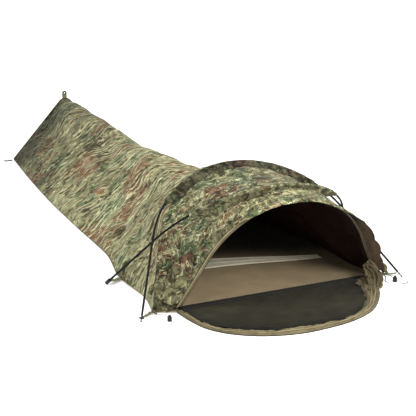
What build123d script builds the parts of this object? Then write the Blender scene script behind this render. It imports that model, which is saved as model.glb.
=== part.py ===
from build123d import *
import os
from math import acos, atan2, cos, degrees, hypot, pi, radians, sin, tan

os.makedirs("parts", exist_ok=True)

# A one-person bivy sack, pitched, with its door folded down on the ground. Millimetres.
# +Z up, the foot towards +Y, the head and its door towards -Y, origin under the middle of
# the whole object, on the ground.

# ------------------------------------------------------------------ driving dimensions
TOTAL_LENGTH = 2660.0
DOOR_DEPTH = 385.0  # how far the open door reaches in front of the sill
SILL_TO_FEET = 30.0  # the sill lies this far behind the rear hoop's feet
FEET_SPACING = 420.0  # from the rear hoop's feet back to the front hoop's feet
HOOP_LEAN = 42.6  # each hoop leans this far from upright, in degrees

FLOOR_T = 3.0
SHEET_T = 3.0  # fabric shells, drawn thicker than cloth
BASE_Z = 3.1  # the covers stand on the floor sheet
AXIS_Z = 4.5  # height of the line that the door and the net fold about

REAR_HALF_SPAN, REAR_RADIUS, REAR_TOP = 554.0, 450.0, 585.0
FRONT_HALF_SPAN, FRONT_RADIUS, FRONT_TOP = 525.0, 430.0, 590.0
TUBE_R, TUBE_BORE_R = 4.25, 3.5
FERRULE_R, FERRULE_BORE_R, FERRULE_HALF = 3.45, 2.2, 30.0
SHOCK_CORD_R = 1.5
BALL_R, PIN_R, PIN_LENGTH = 3.4, 2.5, 22.0
FLANGE_T, PLUG_LENGTH, END_GAP = 2.0, 24.0, 0.3
SLEEVE_IN_R, SLEEVE_OUT_R, SLEEVE_ANGLE = 5.2, 8.0, 45.0

EYELET_R, EYELET_HOLE_R, EYELET_T, EYELET_UP = 9.5, 4.2, 2.4, 14.0
CUP_R, CUP_BORE_R, CUP_START, CUP_LENGTH, CUP_FLOOR = 7.5, 4.6, 4.0, 26.0, 4.0

MOUTH_X = 35.0  # the mouth sits this far to the right
RIM_LEAN = -14.0  # the mouth leans forward
RIM_HALF, RIM_TOP, RIM_RADIUS = 432.0, 410.0, 365.0
HEM = 24.0  # binding and zipper tape in front of the hood fabric
BINDING_T, BINDING_WIDTH = 5.0, 9.6
TAPE_T, TAPE_FRONT, COIL_T, COIL_WIDTH = 1.2, 4.0, 2.4, 3.0
DOOR_X, DOOR_HALF, DOOR_T, DOOR_RIM_T, DOOR_RIM_WIDTH, DOOR_COIL_WIDTH = 8.0, 405.0, 2.4, 4.2, 30.0, 3.0
NET_X, NET_HALF, NET_DEPTH, NET_T, NET_Z, HEM_WIDTH, HEM_T = -6.0, 352.0, 338.0, 0.8, 2.8, 10.0, 1.2
FOLD_GAP = 1.0
DOOR_COIL_T = 3.4
SMALL_GAP = 0.1  # between pieces sewn edge to edge
LIFT = 0.2  # the mouth's trims end this far above the floor sheet

FEET_Y = DOOR_DEPTH - TOTAL_LENGTH / 2 - SILL_TO_FEET
SILL_Y = FEET_Y + SILL_TO_FEET
END_PANEL_T = 4.0
FOOT_Y = TOTAL_LENGTH / 2 - END_PANEL_T

# Cover sections from the hood's back edge to the foot:
# distance behind the rear hoop's feet, lean, half width, height along the lean, crown radius
BODY_SECTIONS = (
    (62.0, 37.5, 484.0, 531.0, 412.0),
    (240.0, 36.0, 446.0, 476.0, 330.0),
    (440.0, 29.6, 453.0, 405.0, 250.0),
    (760.0, 17.8, 394.0, 328.0, 180.0),
    (1100.0, 9.8, 382.0, 295.0, 150.0),
    (1500.0, 0.0, 362.0, 278.0, 120.0),
    (1900.0, 0.0, 328.0, 282.0, 80.0),
    (FOOT_Y - FEET_Y, 0.0, 283.0, 287.0, 40.0),
)
# Hood sections: sideways shift, then as above
HOOD_SECTIONS = (
    (MOUTH_X, SILL_TO_FEET + HEM / cos(radians(RIM_LEAN)), RIM_LEAN, RIM_HALF, RIM_TOP, RIM_RADIUS),
    (22.0, 57.0, 3.0, 452.0, 424.0, 372.0),
    (10.0, 59.5, 22.0, 470.0, 450.0, 385.0),
    (0.0, *BODY_SECTIONS[0]),
)
FLOOR_MARGIN = 6.0


# ------------------------------------------------------------------ shared geometry
def save(block, name):
    """Label the finished piece and write it."""
    block.part.label = name
    export_step(block.part, f"parts/{name}.step")


def leg_lean(half_span, top, radius):
    """Inward lean of the straight legs that run tangent to an arch's crown, in degrees."""
    centre = top - radius
    return degrees(acos(radius / hypot(half_span, centre))) - degrees(atan2(centre, half_span))


def leaning_plane(x, y, z, lean):
    """Plane across the object at (x, y, z), leaning back by lean degrees, local y up it."""
    angle = radians(lean)
    return Plane(origin=(x, y, z), x_dir=(1, 0, 0), z_dir=(0, -cos(angle), sin(angle)))


def arch_edges(half_span, top, radius, offset=0.0):
    """Left leg, crown arc and right leg of an arch whose outline is moved out by offset."""
    lean = leg_lean(half_span, top, radius)
    centre = top - radius
    grown = radius + offset
    foot_x = half_span + offset / cos(radians(lean))
    turn_x = grown * cos(radians(lean))
    turn_y = centre + grown * sin(radians(lean))
    return [
        Edge.make_line((-foot_x, 0), (-turn_x, turn_y)),
        Edge.make_three_point_arc((-turn_x, turn_y), (0, centre + grown), (turn_x, turn_y)),
        Edge.make_line((turn_x, turn_y), (foot_x, 0)),
    ]


def arch_band(plane, half_span, top, radius, outer, inner):
    """Thin arch-shaped face between two offsets of one arch, open at the ground."""
    with BuildSketch(plane) as sketch:
        with BuildLine():
            for edge in arch_edges(half_span, top, radius, outer):
                add(edge)
            outer_ends = (-half_x(half_span, top, radius, outer), half_x(half_span, top, radius, outer))
            for edge in arch_edges(half_span, top, radius, -inner):
                add(edge)
            inner_ends = (-half_x(half_span, top, radius, -inner), half_x(half_span, top, radius, -inner))
            Line((outer_ends[0], 0), (inner_ends[0], 0))
            Line((outer_ends[1], 0), (inner_ends[1], 0))
        make_face()
    return sketch.sketch


def half_x(half_span, top, radius, offset):
    """Half width at the ground of an arch moved out by offset."""
    return half_span + offset / cos(radians(leg_lean(half_span, top, radius)))


def cover_face(x, behind_feet, lean, half_span, top, radius):
    """Section through the fabric cover."""
    plane = leaning_plane(x, FEET_Y + behind_feet, BASE_Z, lean)
    return arch_band(plane, half_span, top, radius, 0.0, SHEET_T)


def swept_ring(path, outer, inner):
    """Tube, or a rod where inner is 0, along a path of lines and arcs."""
    with BuildPart() as block:
        with BuildSketch(Plane(origin=path @ 0, z_dir=path % 0)):
            Circle(outer)
            if inner > 0:
                Circle(inner, mode=Mode.SUBTRACT)
        sweep(path=path)
    return block.part


def hoop_leg(plane, half_span, lean, start, end):
    """Edge on the left leg, between two distances from its foot."""
    run = (sin(radians(lean)), cos(radians(lean)))
    points = [(-half_span + d * run[0], d * run[1]) for d in (start, end)]
    return plane.from_local_coords(Edge.make_line(*points))


def hoop_arc(plane, top, radius, start_angle, end_angle):
    """Edge on the crown, between two angles measured from +X."""
    centre = top - radius
    angles = (start_angle, (start_angle + end_angle) / 2, end_angle)
    points = [(radius * cos(radians(a)), centre + radius * sin(radians(a))) for a in angles]
    return plane.from_local_coords(Edge.make_three_point_arc(*points))


def leg_plane(plane, half_span, lean, up):
    """Plane across the left leg at a distance from its foot, z along the leg."""
    foot = plane.from_local_coords(Vector(-half_span, 0, 0))
    above = plane.from_local_coords(Vector(-half_span + sin(radians(lean)), cos(radians(lean)), 0))
    along = above - foot
    return Plane(origin=foot + along * up, z_dir=along)


def half_ellipse(x, half_width, depth, back_y):
    """Half ellipse in front of back_y, as a sketch on the ground plane."""
    with BuildSketch(Plane.XY) as sketch:
        with Locations((x, SILL_Y)):
            Ellipse(half_width, depth)
        with Locations((x, back_y)):
            Rectangle(3 * half_width, 3 * depth, align=(Align.CENTER, Align.MAX), mode=Mode.INTERSECT)
    return sketch.sketch


def cord_route(name, points):
    """Straight runs joined by tangent arcs as large as the two runs beside each allow."""
    vectors = [Vector(*p) for p in points]
    radii = []
    for before, here, after in zip(vectors, vectors[1:], vectors[2:]):
        run_in, run_out = here - before, after - here
        turn = run_in.get_angle(run_out)
        shorter = min(run_in.length, run_out.length)
        radii.append(0.45 * shorter / tan(radians(turn) / 2))
    print(name, "radii", [round(r, 1) for r in radii])
    return FilletPolyline(*points, radius=radii)


def save_cord(name, points, radius):
    """A free cord as one tube along its route."""
    with BuildPart() as cord:
        with BuildLine():
            route = cord_route(name, points)
        with BuildSketch(Plane(origin=route @ 0, z_dir=route % 0)):
            Circle(radius)
        sweep()
    share = cord.part.volume / (pi * radius**2 * route.length)
    print(name, "length", round(route.length, 1), "volume share", round(share, 4))
    save(cord, name)


# ------------------------------------------------------------------ floor and covers
floor_sides = [(section[2] + FLOOR_MARGIN, FEET_Y + section[0]) for section in BODY_SECTIONS]
with BuildPart() as floor_panel:
    with BuildSketch(Plane.XY):
        with BuildLine():
            for side in (-1, 1):
                Spline(*[(side * half, y) for half, y in floor_sides])
                Line((side * floor_sides[0][0], floor_sides[0][1]), (side * floor_sides[0][0], SILL_Y))
            Line((-floor_sides[0][0], SILL_Y), (floor_sides[0][0], SILL_Y))
            Line((-floor_sides[-1][0], FOOT_Y), (floor_sides[-1][0], FOOT_Y))
        make_face()
    extrude(amount=FLOOR_T)
save(floor_panel, "floor_panel")

# Two taped seams cross the floor under the hoops.
SEAM_TAPE_WIDTH, SEAM_TAPE_HALF, SEAM_TAPE_T = 18.0, 380.0, 1.0
SEAM_TAPES_BEHIND = (375.0, 450.0)
with BuildPart() as floor_seam_tapes:
    with BuildSketch(Plane.XY.offset(BASE_Z)):
        with Locations(*[(0, FEET_Y + behind) for behind in SEAM_TAPES_BEHIND]):
            Rectangle(2 * SEAM_TAPE_HALF, SEAM_TAPE_WIDTH)
    extrude(amount=SEAM_TAPE_T)
save(floor_seam_tapes, "floor_seam_tapes")

# The strip that the net is sewn to lies on the floor just inside the mouth.
STRIP_LENGTH, STRIP_WIDTH, STRIP_T, STRIP_START = 800.0, 46.0, 1.0, 3.0
with BuildPart() as sill_strip:
    with BuildSketch(Plane.XY.offset(BASE_Z)):
        with Locations((MOUTH_X, SILL_Y + STRIP_START + STRIP_WIDTH / 2)):
            Rectangle(STRIP_LENGTH, STRIP_WIDTH)
    extrude(amount=STRIP_T)
save(sill_strip, "sill_strip")

with BuildPart() as body_cover:
    loft(sections=[cover_face(0.0, *section) for section in BODY_SECTIONS], ruled=True)
save(body_cover, "body_cover")

with BuildPart() as foot_end_panel:
    foot_half, foot_top, foot_radius = BODY_SECTIONS[-1][2:]
    with BuildSketch(leaning_plane(0.0, FOOT_Y, BASE_Z, 0.0)):
        with BuildLine():
            for edge in arch_edges(foot_half, foot_top, foot_radius):
                add(edge)
            Line((-foot_half, 0), (foot_half, 0))
        make_face()
    extrude(amount=-END_PANEL_T)
save(foot_end_panel, "foot_end_panel")

# The hood is one surface, cut along the front hoop's plane into its front and the roof crescent.
with BuildPart() as whole_hood:
    loft(sections=[cover_face(*section) for section in HOOD_SECTIONS])
front_hoop_cut = leaning_plane(0.0, FEET_Y + FEET_SPACING, BALL_R, -HOOP_LEAN)
with BuildPart() as hood_front_panel:
    add(whole_hood.part)
    split(bisect_by=front_hoop_cut, keep=Keep.TOP)
save(hood_front_panel, "hood_front_panel")
with BuildPart() as roof_crescent_panel:
    add(whole_hood.part)
    split(bisect_by=front_hoop_cut, keep=Keep.BOTTOM)
save(roof_crescent_panel, "roof_crescent_panel")

# ------------------------------------------------------------------ the hood's hem and zipper half
rim_normal = Vector(0, -cos(radians(RIM_LEAN)), sin(radians(RIM_LEAN)))


def rim_plane(behind):
    """Plane parallel to the mouth, this far behind it."""
    x, behind_feet, lean = HOOD_SECTIONS[0][:3]
    return leaning_plane(x, FEET_Y + behind_feet, BASE_Z, lean).offset(HEM - behind)


def save_rim_band(name, behind, width, outer, inner):
    """A band round the mouth, trimmed level just above the floor sheet."""
    with BuildPart() as band:
        section = arch_band(rim_plane(behind), RIM_HALF, RIM_TOP, RIM_RADIUS, outer, inner)
        extrude(section, width, dir=rim_normal)
        split(bisect_by=Plane.XY.offset(BASE_Z + LIFT), keep=Keep.TOP)
    save(band, name)


# The fabric lies between the arch and SHEET_T inside it, so the hem is centred on that.
mid = SHEET_T / 2
save_rim_band("hood_rim_binding", HEM - SMALL_GAP, BINDING_WIDTH, BINDING_T / 2 - mid, BINDING_T / 2 + mid)
TAPE_WIDTH = HEM - SMALL_GAP - BINDING_WIDTH - TAPE_FRONT
save_rim_band("hood_zip_tape", TAPE_FRONT + TAPE_WIDTH, TAPE_WIDTH, TAPE_T / 2 - mid, TAPE_T / 2 + mid)
coil_outer = -(TAPE_T / 2 + mid)
save_rim_band("hood_zip_coil", TAPE_FRONT + COIL_WIDTH, COIL_WIDTH, coil_outer, -coil_outer + COIL_T)

# ------------------------------------------------------------------ door and net, laid forward
fold_y = SILL_Y - FOLD_GAP
door_inner = (DOOR_HALF - DOOR_RIM_WIDTH, DOOR_DEPTH - DOOR_RIM_WIDTH)
door_band = (DOOR_HALF - DOOR_COIL_WIDTH, DOOR_DEPTH - DOOR_COIL_WIDTH)
with BuildPart() as door_panel:
    extrude(half_ellipse(DOOR_X, *door_inner, fold_y), DOOR_T)
save(door_panel, "door_panel")
with BuildPart() as door_rim:
    extrude(half_ellipse(DOOR_X, *door_band, fold_y), DOOR_RIM_T)
    extrude(half_ellipse(DOOR_X, *door_inner, fold_y), DOOR_RIM_T, mode=Mode.SUBTRACT)
save(door_rim, "door_rim")
with BuildPart() as door_zip_coil:
    extrude(half_ellipse(DOOR_X, DOOR_HALF, DOOR_DEPTH, fold_y), DOOR_COIL_T)
    extrude(half_ellipse(DOOR_X, *door_band, fold_y), DOOR_COIL_T, mode=Mode.SUBTRACT)
save(door_zip_coil, "door_zip_coil")

net_inner = (NET_HALF - HEM_WIDTH, NET_DEPTH - HEM_WIDTH)
with BuildPart() as net_panel:
    extrude(half_ellipse(NET_X, *net_inner, fold_y), NET_T)
    net_panel.part.position = (0, 0, NET_Z)
save(net_panel, "net_panel")
with BuildPart() as net_hem:
    extrude(half_ellipse(NET_X, NET_HALF, NET_DEPTH, fold_y), HEM_T)
    extrude(half_ellipse(NET_X, *net_inner, fold_y), HEM_T, mode=Mode.SUBTRACT)
    net_hem.part.position = (0, 0, NET_Z)
save(net_hem, "net_hem")


# ------------------------------------------------------------------ hoops
def save_hoop(name, plane, half_span, top, radius, end_up):
    """Five tube sections, the ferrules and the shock cord of one hoop, and its sleeve."""
    lean = leg_lean(half_span, top, radius)
    leg_length = (top - radius + radius * sin(radians(lean))) / cos(radians(lean))
    share = (180 - 2 * lean) / 3
    print(name, "hoop length", round(2 * leg_length + radius * radians(180 - 2 * lean), 1))
    leg = hoop_leg(plane, half_span, lean, end_up, leg_length)
    turns = [180 - lean - k * share for k in range(4)]
    crown = [hoop_arc(plane, top, radius, start, end) for start, end in zip(turns, turns[1:])]
    edges = [leg, *crown, leg.mirror(Plane.YZ)]
    for index, edge in enumerate(edges, start=1):
        with BuildPart() as section:
            add(swept_ring(edge, TUBE_R, TUBE_BORE_R))
        save(section, f"{name}_section_{index}")

    half_angle = degrees(FERRULE_HALF / radius)
    with BuildPart() as ferrules:
        lower = hoop_leg(plane, half_span, lean, leg_length - FERRULE_HALF, leg_length)
        bend = hoop_arc(plane, top, radius, 180 - lean, 180 - lean - half_angle)
        add(swept_ring(Wire([lower, bend]), FERRULE_R, FERRULE_BORE_R))
        joint = 180 - lean - share
        upper = hoop_arc(plane, top, radius, joint + half_angle, joint - half_angle)
        add(swept_ring(upper, FERRULE_R, FERRULE_BORE_R))
        mirror(about=Plane.YZ)
    save(ferrules, f"{name}_ferrules")

    cord_start = end_up + PLUG_LENGTH + END_GAP
    with BuildPart() as shock_cord:
        low = hoop_leg(plane, half_span, lean, cord_start, leg_length)
        high = hoop_arc(plane, top, radius, 180 - lean, lean)
        add(swept_ring(Wire([low, high, low.mirror(Plane.YZ)]), SHOCK_CORD_R, 0.0))
    save(shock_cord, f"{name}_shock_cord")

    with BuildPart() as sleeve:
        covered = hoop_arc(plane, top, radius, 90 + SLEEVE_ANGLE, 90 - SLEEVE_ANGLE)
        add(swept_ring(covered, SLEEVE_OUT_R, SLEEVE_IN_R))
    save(sleeve, f"{name}_sleeve")
    return lean


rear_plane = leaning_plane(0.0, FEET_Y, BALL_R, HOOP_LEAN)
front_plane = leaning_plane(0.0, FEET_Y + FEET_SPACING, BALL_R, -HOOP_LEAN)
rear_tube_start = PIN_LENGTH + FLANGE_T
front_tube_start = CUP_START + CUP_FLOOR + 2 * END_GAP + FLANGE_T
rear_lean = save_hoop("rear_hoop", rear_plane, REAR_HALF_SPAN, REAR_TOP, REAR_RADIUS, rear_tube_start)
front_lean = save_hoop("front_hoop", front_plane, FRONT_HALF_SPAN, FRONT_TOP, FRONT_RADIUS, front_tube_start)

BOTTOM = (Align.CENTER, Align.CENTER, Align.MIN)
with BuildPart(leg_plane(rear_plane, REAR_HALF_SPAN, rear_lean, 0.0)) as rear_hoop_tips:
    Sphere(BALL_R)
    Cylinder(PIN_R, PIN_LENGTH, align=BOTTOM)
    with Locations((0, 0, PIN_LENGTH)):
        Cylinder(TUBE_R, FLANGE_T, align=BOTTOM)
    with Locations((0, 0, PIN_LENGTH + FLANGE_T)):
        Cylinder(FERRULE_R, PLUG_LENGTH, align=BOTTOM)
    mirror(about=Plane.YZ)
save(rear_hoop_tips, "rear_hoop_tips")

with BuildPart(leg_plane(front_plane, FRONT_HALF_SPAN, front_lean, front_tube_start)) as front_hoop_tips:
    Cylinder(FERRULE_R, PLUG_LENGTH, align=BOTTOM)
    Cylinder(TUBE_R, FLANGE_T, align=(Align.CENTER, Align.CENTER, Align.MAX))
    mirror(about=Plane.YZ)
save(front_hoop_tips, "front_hoop_tips")

# ------------------------------------------------------------------ feet: eyelets, cups and webbing
SIDES = {"left": 1, "right": -1}


def save_pair(name, part):
    """Write a left piece and its mirror image."""
    for side, sign in SIDES.items():
        with BuildPart() as piece:
            add(part if sign > 0 else part.mirror(Plane.YZ))
        save(piece, f"{name}_{side}")


with BuildPart(leg_plane(rear_plane, REAR_HALF_SPAN, rear_lean, EYELET_UP)) as foot_eyelet:
    Cylinder(EYELET_R, EYELET_T)
    fillet(foot_eyelet.edges().filter_by(GeomType.CIRCLE), radius=EYELET_T * 0.4)
    Hole(EYELET_HOLE_R)
save_pair("foot_eyelet", foot_eyelet.part)

with BuildPart(leg_plane(front_plane, FRONT_HALF_SPAN, front_lean, CUP_START)) as foot_cup:
    Cylinder(CUP_R, CUP_LENGTH, align=BOTTOM)
    chamfer(foot_cup.edges().filter_by(GeomType.CIRCLE), length=1.2)
    with Locations((0, 0, CUP_FLOOR)):
        Cylinder(CUP_BORE_R, CUP_LENGTH, align=BOTTOM, mode=Mode.SUBTRACT)
save_pair("foot_cup", foot_cup.part)


def webbing(start, end, clear, width, thickness):
    """Flat webbing from near start, kept clear of it, to end."""
    along = end - start
    side = Vector(0, 0, 1).cross(along)
    middle = start + along.normalized() * ((along.length + clear) / 2)
    with BuildPart(Plane(origin=middle, x_dir=along, z_dir=along.cross(side))) as strap:
        Box(along.length - clear, width, thickness)
    return strap.part


# Each strap ends just outside the cover, a little above the ground.
corner = BODY_SECTIONS[0]
STRAP_WIDTH, STRAP_T, STRAP_END_OUT, STRAP_END_Z = 15.0, 1.6, 8.0, 6.0
eyelet_centre = leg_plane(rear_plane, REAR_HALF_SPAN, rear_lean, EYELET_UP).origin
corner_point = Vector(-corner[2] - STRAP_END_OUT, FEET_Y + corner[0], STRAP_END_Z)
eyelet_strap = webbing(eyelet_centre, corner_point, EYELET_R + 1.5, STRAP_WIDTH, STRAP_T)
save_pair("eyelet_strap", eyelet_strap)

flare = BODY_SECTIONS[2]
CUP_STRAP_WIDTH, CUP_STRAP_T, CUP_STRAP_END_OUT, CUP_STRAP_END_Z = 24.0, 2.0, 9.0, 7.0
cup_centre = leg_plane(front_plane, FRONT_HALF_SPAN, front_lean, CUP_START + CUP_LENGTH / 2).origin
flare_point = Vector(-flare[2] - CUP_STRAP_END_OUT, FEET_Y + flare[0], CUP_STRAP_END_Z)
cup_strap = webbing(cup_centre, flare_point, CUP_R + 2.0, CUP_STRAP_WIDTH, CUP_STRAP_T)
save_pair("cup_strap", cup_strap)

# ------------------------------------------------------------------ foot end: peg loops, hanging tab
LOOP_LENGTH, LOOP_WIDTH, LOOP_WEB, LOOP_T, LOOP_OUT, LOOP_BACK = 42.0, 16.0, 3.0, 3.0, 4.0, 14.0
loop_x = -BODY_SECTIONS[-1][2] - FLOOR_MARGIN - LOOP_OUT - LOOP_LENGTH / 2
with BuildPart() as peg_loop:
    with BuildSketch(Plane.XY):
        with Locations((loop_x, FOOT_Y - LOOP_BACK)):
            SlotOverall(LOOP_LENGTH, LOOP_WIDTH)
            SlotOverall(LOOP_LENGTH - 2 * LOOP_WEB, LOOP_WIDTH - 2 * LOOP_WEB, mode=Mode.SUBTRACT)
    extrude(amount=LOOP_T)
save_pair("peg_loop", peg_loop.part)

TAB_WIDTH, TAB_HEIGHT, TAB_T, TAB_LIFT = 24.0, 38.0, 2.6, 0.4
TAB_HOLE_R, TAB_RING_R, TAB_BARREL_R, TAB_RING_T = 4.0, 8.0, 6.0, 0.7
tab_base_z = BASE_Z + BODY_SECTIONS[-1][3] + TAB_LIFT
tab_plane = Plane(origin=(0, FOOT_Y + END_PANEL_T / 2, tab_base_z), x_dir=(1, 0, 0), z_dir=(0, -1, 0))
eyelet_up = TAB_HEIGHT - TAB_WIDTH / 2
with BuildPart() as hang_tab:
    with BuildSketch(tab_plane):
        with Locations((0, eyelet_up / 2)):
            Rectangle(TAB_WIDTH, eyelet_up)
        with Locations((0, eyelet_up)):
            Circle(TAB_WIDTH / 2)
            Circle(TAB_BARREL_R, mode=Mode.SUBTRACT)
    extrude(amount=TAB_T / 2, both=True)
save(hang_tab, "hang_tab")
with BuildPart() as hang_eyelet:
    with BuildSketch(tab_plane):
        with Locations((0, eyelet_up)):
            Circle(TAB_BARREL_R)
            Circle(TAB_HOLE_R, mode=Mode.SUBTRACT)
    extrude(amount=TAB_T / 2, both=True)
    for face_side in (1, -1):
        with BuildSketch(tab_plane.offset(face_side * TAB_T / 2)):
            with Locations((0, eyelet_up)):
                Circle(TAB_RING_R)
                Circle(TAB_HOLE_R, mode=Mode.SUBTRACT)
        extrude(amount=face_side * TAB_RING_T)
save(hang_eyelet, "hang_eyelet")

# ------------------------------------------------------------------ zip sliders and their pulls
SLIDER_V, SLIDER_LENGTH, SLIDER_FRONT, SLIDER_DEPTH = 18.0, 12.0, 1.2, 8.0
SLIDER_OUT, SLIDER_IN, SLIDER_WALL, SLIDER_FACE_T = 1.2, 6.2, 1.6, 2.2
BAIL_OUT, BAIL_R, TAB_EYE_R, EAR_T = 4.2, 0.8, 2.2, 1.2
PULL_DROOP = 12.0
rim_leg = leg_lean(RIM_HALF, RIM_TOP, RIM_RADIUS)


def slider_plane(sign):
    """At the slider on the hood's zipper half: x outwards from the leg, z out of the mouth."""
    base = rim_plane(SLIDER_FRONT + SLIDER_DEPTH / 2)
    lean = radians(rim_leg)
    centre = Vector(sign * (SLIDER_V * tan(lean) - RIM_HALF), SLIDER_V, 0)
    outwards = base.from_local_coords(Vector(-sign * cos(lean), sin(lean), 0)) - base.origin
    return Plane(origin=base.from_local_coords(centre), x_dir=outwards, z_dir=rim_normal)


def save_slider(side, sign):
    """Slider body round the coil, with two ears and a bail pin for its tab."""
    width = SLIDER_OUT + SLIDER_IN
    middle = (SLIDER_OUT - SLIDER_IN) / 2
    with BuildPart(slider_plane(sign)) as slider:
        with Locations((middle, 0, 0)):
            Box(width, SLIDER_LENGTH, SLIDER_DEPTH)
        fillet(slider.edges().filter_by(Axis((0, 0, 0), tuple(rim_normal))), radius=1.2)
        with Locations((middle, 0, -SLIDER_FACE_T)):
            Box(width - SLIDER_WALL, SLIDER_LENGTH + 1, SLIDER_DEPTH, mode=Mode.SUBTRACT)
        with Locations((BAIL_OUT, 0, 0)):
            Cylinder(BAIL_R, SLIDER_DEPTH)
        for end in (-1, 1):
            with Locations((BAIL_OUT / 2 + 0.6, 0, end * (SLIDER_DEPTH - EAR_T) / 2)):
                Box(BAIL_OUT + 1.2, 3.6, EAR_T)
    save(slider, f"zip_slider_{side}")


def pull_plane(sign):
    """At the bail pin: x along the drooping tab, z out of the mouth."""
    pin = slider_plane(sign).from_local_coords(Vector(BAIL_OUT, 0, 0))
    level = Vector(-sign, 0, 0)
    drop = Vector(0, -sin(radians(RIM_LEAN)), -cos(radians(RIM_LEAN)))
    along = level * cos(radians(PULL_DROOP)) + drop * sin(radians(PULL_DROOP))
    return Plane(origin=pin, x_dir=along, z_dir=rim_normal)


TAB_LENGTH, TAB_HALF_T, PULL_TAB_WIDTH = 15.0, 0.9, 4.6


def save_tab(side, sign):
    """Flat tab that swings on the bail pin."""
    with BuildPart() as tab:
        with BuildSketch(pull_plane(sign)):
            Circle(TAB_EYE_R)
            with Locations((TAB_LENGTH / 2, 0)):
                Rectangle(TAB_LENGTH, 2 * TAB_HALF_T)
            Circle(BAIL_R + 0.2, mode=Mode.SUBTRACT)
        extrude(amount=PULL_TAB_WIDTH / 2, both=True)
    save(tab, f"zip_tab_{side}")


for side_name, side_sign in SIDES.items():
    save_slider(side_name, side_sign)
    save_tab(side_name, side_sign)

# The left pull is a moulded rod with a bulb. The right one is a limp cord.
PULL_ROD_R, PULL_BULB_R, PULL_LENGTH = 1.5, 3.2, 46.0
left_pull = pull_plane(1)
rod_start = left_pull.from_local_coords(Vector(TAB_LENGTH + SMALL_GAP / 2, 0, 0))
with BuildPart(Plane(origin=rod_start, z_dir=left_pull.x_dir)) as zip_pull_left:
    Cylinder(PULL_ROD_R, PULL_LENGTH - TAB_LENGTH, align=BOTTOM)
    with Locations((0, 0, PULL_LENGTH - TAB_LENGTH)):
        Sphere(PULL_BULB_R)
save(zip_pull_left, "zip_pull_left")
right_pull = pull_plane(-1)
print("right tab end", right_pull.from_local_coords(Vector(TAB_LENGTH, 0, 0)), right_pull.x_dir)

# ------------------------------------------------------------------ cord locks, standing by the front corners
LOCK_BODY_R, LOCK_BODY_Z0, LOCK_BODY_H, LOCK_BORE_R, LOCK_BORE_Z = 8.5, 0.2, 18.0, 5.3, 4.2
PLUNGER_R, PLUNGER_Z0, PLUNGER_TOP_Z = 5.0, 8.7, 24.2
CORD_HOLE_R, CORD_HOLE_Z, PLUNGER_TRAVEL = 2.0, 13.0, 4.0
SPRING_R, SPRING_WIRE_R, SPRING_Z0, SPRING_Z1 = 3.4, 0.4, 4.4, 8.5
LOCKS = {"left": (-456.0, FEET_Y - 34.0), "right": (502.0, FEET_Y - 34.0)}

for side_name, (lock_x, lock_y) in LOCKS.items():
    with BuildPart(Plane((lock_x, lock_y, LOCK_BODY_Z0))) as lock_body:
        Cylinder(LOCK_BODY_R, LOCK_BODY_H, align=BOTTOM)
        fillet(lock_body.edges().filter_by(GeomType.CIRCLE), radius=2.0)
        with Locations((0, 0, LOCK_BORE_Z - LOCK_BODY_Z0)):
            Cylinder(LOCK_BORE_R, LOCK_BODY_H, align=BOTTOM, mode=Mode.SUBTRACT)
        with Locations(Location((0, 0, CORD_HOLE_Z - LOCK_BODY_Z0), (90, 0, 0))):
            Cylinder(CORD_HOLE_R, 4 * LOCK_BODY_R, mode=Mode.SUBTRACT)
    save(lock_body, f"cord_lock_body_{side_name}")

    with BuildPart(Plane((lock_x, lock_y, PLUNGER_Z0))) as lock_plunger:
        Cylinder(PLUNGER_R, PLUNGER_TOP_Z - PLUNGER_Z0, align=BOTTOM)
        fillet(lock_plunger.edges().filter_by(GeomType.CIRCLE).sort_by(Axis.Z)[-1], radius=1.5)
        slot_height = 2 * CORD_HOLE_R + PLUNGER_TRAVEL
        slot_centre = CORD_HOLE_Z - CORD_HOLE_R + slot_height / 2 - PLUNGER_Z0
        with Locations((0, 0, slot_centre)):
            Box(2 * CORD_HOLE_R, 3 * PLUNGER_R, slot_height, mode=Mode.SUBTRACT)
    save(lock_plunger, f"cord_lock_plunger_{side_name}")

    with BuildPart() as lock_spring:
        with BuildLine(Plane((lock_x, lock_y, SPRING_Z0 + SPRING_WIRE_R))):
            coil = Helix(pitch=1.1, height=SPRING_Z1 - SPRING_Z0 - 2 * SPRING_WIRE_R, radius=SPRING_R)
        with BuildSketch(Plane(origin=coil @ 0, z_dir=coil % 0)):
            Circle(SPRING_WIRE_R)
        sweep(is_frenet=True)
    save(lock_spring, f"cord_lock_spring_{side_name}")

# ------------------------------------------------------------------ free cords, points chosen by hand
DRAWCORD_R, PULL_CORD_R = 1.3, 1.5
save_cord(
    "drawcord_left",
    (
        (-480.0, -946.0, 9.0),
        (-473.0, -958.0, 11.0),
        (-463.0, -974.0, 13.0),
        (-456.0, -992.0, 13.1),
        (-455.9, -1026.0, 13.0),
        (-459.0, -1040.0, 6.0),
        (-468.0, -1051.0, 1.5),
    ),
    DRAWCORD_R,
)
save_cord(
    "drawcord_right",
    (
        (500.0, -942.0, 9.0),
        (503.5, -956.0, 11.5),
        (503.8, -973.0, 13.0),
        (502.0, -991.0, 13.1),
        (502.1, -1026.0, 13.0),
        (507.0, -1040.0, 6.0),
        (519.0, -1048.0, 1.5),
        (535.0, -1046.0, 1.4),
        (546.0, -1035.0, 1.4),
        (545.0, -1020.0, 1.5),
    ),
    DRAWCORD_R,
)
save_cord(
    "zip_pull_cord_right",
    (
        (476.45, -942.55, 14.8),
        (486.2, -942.05, 12.8),
        (494.0, -947.5, 6.2),
        (494.0, -957.5, 2.1),
        (486.0, -969.0, 1.6),
        (475.0, -980.0, 1.7),
        (468.0, -993.0, 1.6),
        (472.0, -1006.0, 1.6),
    ),
    PULL_CORD_R,
)
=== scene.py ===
"""The bivy sack's visible model, built round the frame in model.glb. Metres."""

import math

import bpy
import numpy as np
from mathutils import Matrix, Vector
from mathutils.bvhtree import BVHTree


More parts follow.
